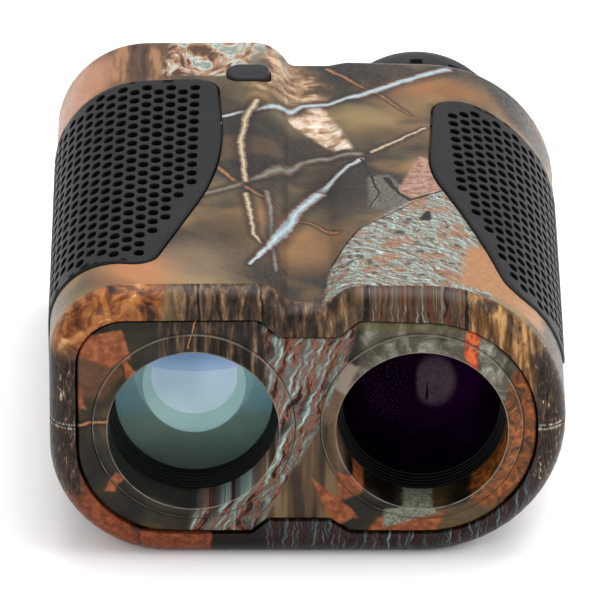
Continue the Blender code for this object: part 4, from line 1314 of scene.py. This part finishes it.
def half_shell(name, upper):
    """One half of the housing, with every opening of the CAD shell."""
    made = stack(name, housing_levels(), along_depth, top_camo if upper else low_camo)
    carve(made, [cavity()])
    post_place = (*REAR_SCREW, 0)
    span = (SEAM_HEIGHT, POST_TOP) if upper else (1.0, SEAM_HEIGHT)
    carve(made, [rod("post", BOSS_RADIUS, *span, post_place, UP, 24)], "UNION")
    if upper:
        tools = [rod("bore", SCREW_HOLE, *POST_BORE, post_place, UP, 16)]
    else:
        block = box("block", STRAP_BLOCK_X, (SHELL_LENGTH - 7.5, SHELL_LENGTH - 1.9), STRAP_BLOCK_Z)
        carve(made, [block], "UNION")
        tools = [
            box("notch", STRAP_X, (SHELL_LENGTH - 5.0, SHELL_LENGTH + 2), STRAP_NOTCH_Z),
            rod("bar_bore", 1.1, -5.8, 5.8, BAR_PLACE, (1, 0, 0), 24),
            screw_hole(*REAR_SCREW, REAR_HEAD_TOP, REAR_SCREW_END),
        ]
        tools += [screw_hole(*place, CRADLE_HEAD_TOP, CRADLE_SCREW_END) for place in CRADLE_SCREWS]
    back_cut = (SHELL_LENGTH - 5.0, SHELL_LENGTH + 3.0)
    tools += [
        prism("opening", plate_corners(), PLATE_RIM, -1.0, 3.2, along_depth),
        rod("eye_hole", TUBE_RADIUS + GAP, *back_cut, EYE_AXIS),
        rod("battery_hole", CAP_HOLE, *back_cut, BATTERY_AXIS),
        prism("mode_hole", mode_outline, GAP, -40.0, -34.0, along_width),
    ]
    if upper:
        pocket = [(-GAP, -GRIP_POCKET), (-GAP, 1.5)]
        tools += [
            prism("power_hole", power_outline, GAP, 38.0, 44.0, along_height),
            prism("relief", power_flange, GAP, 36.0, 39.5, along_height),
            pad("left_pocket", -1, LEFT_GRIP, pocket, (), 3.0),
            pad("right_pocket", 1, RIGHT_GRIP, pocket, (), 3.0),
        ]
    carve(made, tools)
    heights = (SEAM_HEIGHT + GAP / 2, 60) if upper else (-20, SEAM_HEIGHT - GAP / 2)
    carve(made, [box("half", (-60, 60), (-10, 120), heights)], "INTERSECT")
    soften(made, 0.12, 50.0)
    if upper:
        made.data.materials.append(lip_camo)
        for face in made.data.polygons:
            if face.center.y < at(0, FRONT_ROUND_DEPTH, 0).y:
                face.material_index = len(made.data.materials) - 1
    return made


stands_for(half_shell("upper_housing", True), "housing", "camo_shell", "upper_shell")
stands_for(half_shell("lower_housing", False), "housing", "camo_shell", "lower_shell")

plate_levels = [
    (plate_corners(), 0.42, PLATE_FACE),
    (plate_corners(), 0.2, PLATE_FACE + 0.06),
    (plate_corners(), 0.06, PLATE_FACE + 0.2),
    (plate_corners(), 0.0, PLATE_FACE + 0.42),
    (plate_corners(), 0.0, PLATE_BACK),
]
plate = stack("face_plate", plate_levels, along_depth, plate_camo)
for x in (-LENS_X, LENS_X):
    carve(plate, [rod("plate_hole", BEZEL_EDGE + 0.08, -2, 4, (x, 0, AXIS_HEIGHT), segments=FINE)])
soften(plate, 0.1, 60.0)
stands_for(plate, "housing", "camo_plate", "front_plate")


# ---- windows

def offset(radius, start, points):
    """A profile whose (radius, distance) points are counted from a given radius and distance."""
    return [(radius + r, start + d) for r, d in points]


BEZEL_LIP = [(0, 0.14), (0.05, 0.04), (0.16, 0), (0.36, 0.02), (0.6, 0.12)]
BEZEL_SECTION = [
    (BEZEL_BORE, BEZEL_LENGTH),
    *offset(BEZEL_BORE, -BEZEL_PROUD, BEZEL_LIP),
    *offset(BEZEL_EDGE, 0, [(-0.3, 0.02), (-0.1, 0.16), (0, 0.32), (0, PLATE_BACK)]),
    (BEZEL_RADIUS, PLATE_BACK),
    (BEZEL_RADIUS, BEZEL_LENGTH),
]
RING_START = BEZEL_LENGTH + GAP
RING_STEPS = [(12.1, 6.3), (11.95, 7.0), (11.75, 7.7), (11.6, 8.4), (11.4, 10.0)]
RING_OUTSIDE = 13.0


def ring_section():
    """The inner barrel: its bore narrows by steps (radius, end) towards the lens."""
    points = [(RING_OUTSIDE, RING_START)]
    start = RING_START
    for radius, end in RING_STEPS:
        points += [(radius, start), (radius, end)]
        start = end
    return rounded(points + [(RING_OUTSIDE, start)], 0.08, 2)


def lens_section(radius, edge, thick, front, back, steps=12):
    """A lens: spherical faces that bulge by front and back, with a plain edge."""
    points = []
    for step in range(steps + 1):
        r = radius * step / steps
        points.append((r, edge - front * (1 - (r / radius) ** 2)))
    for step in range(steps, -1, -1):
        r = radius * step / steps
        points.append((r, edge + thick + back * (1 - (r / radius) ** 2)))
    return points


def dish_section(radius, edge, hollow, thick, steps=12):
    """A coated element behind the window: a shallow dish, closed at the back."""
    points = [(radius * k / steps, edge + hollow * (1 - (k / steps) ** 2)) for k in range(steps + 1)]
    return points + [(radius, edge + hollow + thick), (0, edge + hollow + thick)]


def merged(name, parts):
    """Several meshes as one object, each with its own material."""
    bm = bmesh.new()
    materials = []
    for part in parts:
        first = len(bm.faces)
        bm.from_mesh(part.data)
        bm.faces.ensure_lookup_table()
        for face in bm.faces[first:]:
            face.material_index = len(materials)
        materials.append(part.data.materials[0])
        bpy.data.objects.remove(part, do_unlink=True)
    made = piece(name, bm, None)
    for material in materials:
        made.data.materials.append(material)
    return made


# Each window: clear glass, and behind it a dish painted with coating colour and painted reflections.
for window, barrel, x, clear, coat in (
    ("receiver", "receiver", -LENS_X, receiver_front, receiver_painted_reflections),
    ("viewing", "objective", LENS_X, viewing_front, viewing_coat_and_reflection),
):
    axis = (x, 0, AXIS_HEIGHT)
    glass_slot = f"{window}_glass"
    bezel = turned(f"{window}_bezel_ring", BEZEL_SECTION, plate_camo, axis, segments=128)
    stands_for(bezel, "housing", "camo_plate", f"{window}_bezel")
    ring = turned(f"{barrel}_stepped_ring", ring_section(), barrel_finish, axis, segments=128)
    stands_for(ring, "housing", "black_metal", f"{barrel}_retaining_ring")
    front = turned("front", lens_section(LENS_RADIUS, LENS_EDGE_DEPTH, 0.5, 1.6, -1.4), clear, axis)
    inner = turned("inner", dish_section(LENS_RADIUS - 0.1, LENS_EDGE_DEPTH + 1.0, 1.0, 0.6), coat, axis)
    lens = merged(f"{barrel}_window", [front, inner])
    stands_for(lens, "housing", glass_slot, f"{barrel}_lens")


# ---- eyepiece and battery cap

NOTCH_SHARE = 0.26
NOTCH_DEPTH = 0.55
NOTCH_ROWS = (5, 6)
KNURL_ROWS = (3, 4)
KNURLS = 48
KNURL_DEPTH = 0.22


def notched(angle, index, radius):
    """Deepens the outer rings of the dioptre ring at each notch."""
    if index not in NOTCH_ROWS:
        return radius
    turn = (angle * DIOPTER_NOTCHES / (2 * math.pi) + 0.5) % 1.0
    return radius - NOTCH_DEPTH if abs(turn - 0.5) < NOTCH_SHARE / 2 else radius


DIOPTER_FRONT = [(-1.0, 0), (-0.35, 0.2), (0, 0.8), (0, 1.65), (0, 1.75), (0, 4.25), (0, 4.35)]
DIOPTER_SECTION = [
    (TUBE_RADIUS + GAP, DIOPTER_START),
    *offset(DIOPTER_RADIUS, DIOPTER_START, DIOPTER_FRONT),
    *offset(DIOPTER_RADIUS, DIOPTER_END, [(0, -0.6), (-0.2, -0.15), (-0.6, 0)]),
    (TUBE_RADIUS + GAP, DIOPTER_END),
]
knob_segments = DIOPTER_NOTCHES * 24
ring = turned("dioptre_knob", DIOPTER_SECTION, ring_finish, EYE_AXIS, segments=knob_segments, shape=notched)
stands_for(ring, "diopter_ring", "black_plastic", "diopter_ring")

EYECUP_OUTSIDE = [(11.0, 2.4), (10.8, GAP), (14.4, GAP), (14.35, 1.2), (14.1, 2.4), (13.8, 3.2)]
EYECUP_INSIDE = [(11.35, 3.4), (11.0, 2.4)]
EYECUP_SECTION = [
    *offset(0, DIOPTER_END, EYECUP_OUTSIDE),
    (13.2, EYECUP_END),
    (11.9, EYECUP_END),
    *offset(0, DIOPTER_END, EYECUP_INSIDE),
]
cup = turned("eyecup_rubber", rounded(EYECUP_SECTION, 0.5)[:-1], eyepiece_finish, EYE_AXIS)
stands_for(cup, "diopter_ring", "eyepiece_rubber", "eyecup")


def knurled(angle, index, radius):
    """Fine ribs round the rim of the battery cap."""
    if index not in KNURL_ROWS:
        return radius
    return radius - KNURL_DEPTH * (0.5 + 0.5 * math.cos(angle * KNURLS))


CAP_PLUG = 9.3
CAP_SECTION = [
    (0, SHELL_LENGTH - 2.2),
    (CAP_PLUG, SHELL_LENGTH - 2.2),
    (CAP_PLUG, CAP_START),
    *offset(CAP_RADIUS, CAP_START, [(0, 0), (0, 1.5), (-0.35, 2.1), (-0.9, 2.4)]),
    *offset(0, CAP_START, [(9.4, 2.4), (9.2, 2.25), (0, 2.25)]),
]
cap = turned("battery_cap_knob", CAP_SECTION, ring_finish, BATTERY_AXIS, segments=KNURLS * 6, shape=knurled)
slot_x = (BATTERY_X - 7, BATTERY_X + 7)
slot_z = (BATTERY_HEIGHT - 0.9, BATTERY_HEIGHT + 0.9)
carve(cap, [box("coin", slot_x, (CAP_START + 1.0, CAP_START + 4.0), slot_z)])
stands_for(cap, "battery_cap", "black_plastic", "battery_cap")


# ---- buttons, screws and strap bar

def dome(outline_of, low, high, radius=0.6):
    """Levels for a button's rounded face."""
    levels = [(outline_of, 0.0, low)]
    sign = 1 if high > low else -1
    for sine, cosine in quarter(6):
        levels.append((outline_of, radius * (1 - cosine), high - sign * radius * (1 - sine) * 0.8))
    return levels


levels = [(power_flange, 0.0, 38.3), (power_flange, 0.0, 39.1)] + dome(power_outline, 39.1, POWER_TOP)
power = stack("power_key", levels, along_height, button_finish)
stands_for(power, "power_button", "button_rubber", "power_button")

mode_flange = button_outline(MODE_SIZE, 0.8, (MODE_DEPTH, SEAM_HEIGHT), 1.6)
levels = [(mode_flange, 0.0, -33.5), (mode_flange, 0.0, -34.3)] + dome(mode_outline, -34.3, MODE_FACE, 0.5)
mode = stack("mode_key", levels, along_width, button_finish)
stands_for(mode, "mode_button", "button_rubber", "mode_button")


def screw(name, node, x, depth, head, length):
    """A pan-head screw with a cross recess, its head downwards."""
    low = head - 1.2
    section = [
        *offset(0, head + length, [(0, 0), (0.8, 0), (1.0, -0.6)]),
        *offset(0, head, [(1.0, 0), (2.2, 0)]),
        *offset(0, low, [(2.2, 0.45), (2.1, 0.18), (1.85, 0), (0, 0)]),
    ]
    made = turned(name, section, steel_finish, (x, depth, 0), UP, 48)
    for half_x, half_y in ((1.3, 0.3), (0.3, 1.3)):
        arm_x = (x - half_x, x + half_x)
        arm_depth = (depth - half_y, depth + half_y)
        carve(made, [box("arm", arm_x, arm_depth, (low - 1, low + 0.7))])
    stands_for(made, "housing", "steel", node)


screw("rear_screw", "case_screw_rear", *REAR_SCREW, REAR_HEAD_TOP, 22.0)
screw("front_screw", "case_screw_front", *CRADLE_SCREWS[0], CRADLE_HEAD_TOP, 6.2)
screw("middle_screw", "case_screw_middle", *CRADLE_SCREWS[1], CRADLE_HEAD_TOP, 6.2)
bar_section = [(0, 5.2), (0.65, 5.2), (0.8, 5.05), (0.8, -5.05), (0.65, -5.2), (0, -5.2)]
bar = turned("strap_rod", bar_section, steel_finish, BAR_PLACE, (1, 0, 0), 32)
stands_for(bar, "housing", "steel", "strap_bar")


# ---- finishes of the kept CAD nodes

slot_finishes = {
    "black_plastic": ring_finish,
    "black_metal": barrel_finish,
    "clear_glass": clear_finish,
    "seal_rubber": seal_finish,
    "steel": steel_finish,
    "brass": brass_finish,
    "circuit_board": board_finish,
    "battery_sleeve": sleeve_finish,
    "grip_rubber": grip_finish,
    "button_rubber": button_finish,
    "eyepiece_rubber": eyepiece_finish,
    "camo_shell": low_camo,
    "camo_plate": plate_camo,
    "receiver_glass": receiver_painted_reflections,
    "viewing_glass": viewing_coat_and_reflection,
}
for node in nodes.values():
    for socket in node.material_slots:
        key = socket.material.name.split(".")[0] if socket.material else ""
        if key in slot_finishes:
            socket.material = slot_finishes[key]


# ---- stage

FLOOR_HALF = 6.0
FLOOR_ROWS = 12
WORLD_LIGHT = 0.8
SOFTBOXES = [
    ("overhead", (0.15, 0.25, 0.9), (0, 0, 0), (0.9, 0.7), 9.0),
    ("right", (0.8, -0.25, 0.45), (0, 0, 0.02), (0.5, 0.6), 4.0),
    ("front", (-0.3, -0.9, 0.5), (0, 0, 0.02), (0.7, 0.4), 3.0),
]
CAMERA_PLACE = (0.0, -1.4102, 0.6597)
CAMERA_PITCH = math.radians(24.5)
CAMERA_YAW = math.radians(0.047)
CAMERA_LENS = 623.7
CAMERA_SENSOR = 36.0
CAMERA_REACH = 30.0


def pale_floor():
    """A white table whose tone drifts slightly."""
    paint = Paint("studio_floor")
    here = paint.place()
    cloud = paint.noise(here, 0.002, 2.0)
    paint.set(Base_Color=paint.shades(cloud, (0.93, 0.93, 0.93), (0.96, 0.96, 0.96)))
    paint.set(Roughness=0.9, Specular_IOR_Level=0.1)
    return paint.material


def placed(name, data, place, rotation):
    """A new light or camera in the scene."""
    made = bpy.data.objects.new(name, data)
    bpy.context.scene.collection.objects.link(made)
    made.location = place
    made.rotation_euler = rotation
    return made


bm = bmesh.new()
bmesh.ops.create_grid(bm, x_segments=FLOOR_ROWS, y_segments=FLOOR_ROWS, size=FLOOR_HALF)
floor = piece("studio_table", bm, pale_floor())

world = bpy.data.worlds.new("studio")
world.use_nodes = True
background = world.node_tree.nodes["Background"]
background.inputs["Color"].default_value = (1.0, 1.0, 1.0, 1.0)
background.inputs["Strength"].default_value = WORLD_LIGHT
bpy.context.scene.world = world

for name, place, target, (width, height), power in SOFTBOXES:
    light = bpy.data.lights.new(name, "AREA")
    light.shape = "RECTANGLE"
    light.size = width
    light.size_y = height
    light.energy = power
    aim = Vector(target) - Vector(place)
    placed(name, light, place, aim.to_track_quat("-Z", "Y").to_euler())

camera_data = bpy.data.cameras.new("camera")
camera_data.sensor_width = CAMERA_SENSOR
camera_data.lens = CAMERA_LENS
camera_data.clip_end = CAMERA_REACH
camera_turn = (math.pi / 2 - CAMERA_PITCH, 0.0, CAMERA_YAW)
bpy.context.scene.camera = placed("camera", camera_data, CAMERA_PLACE, camera_turn)
bpy.context.scene.view_settings.view_transform = "Standard"
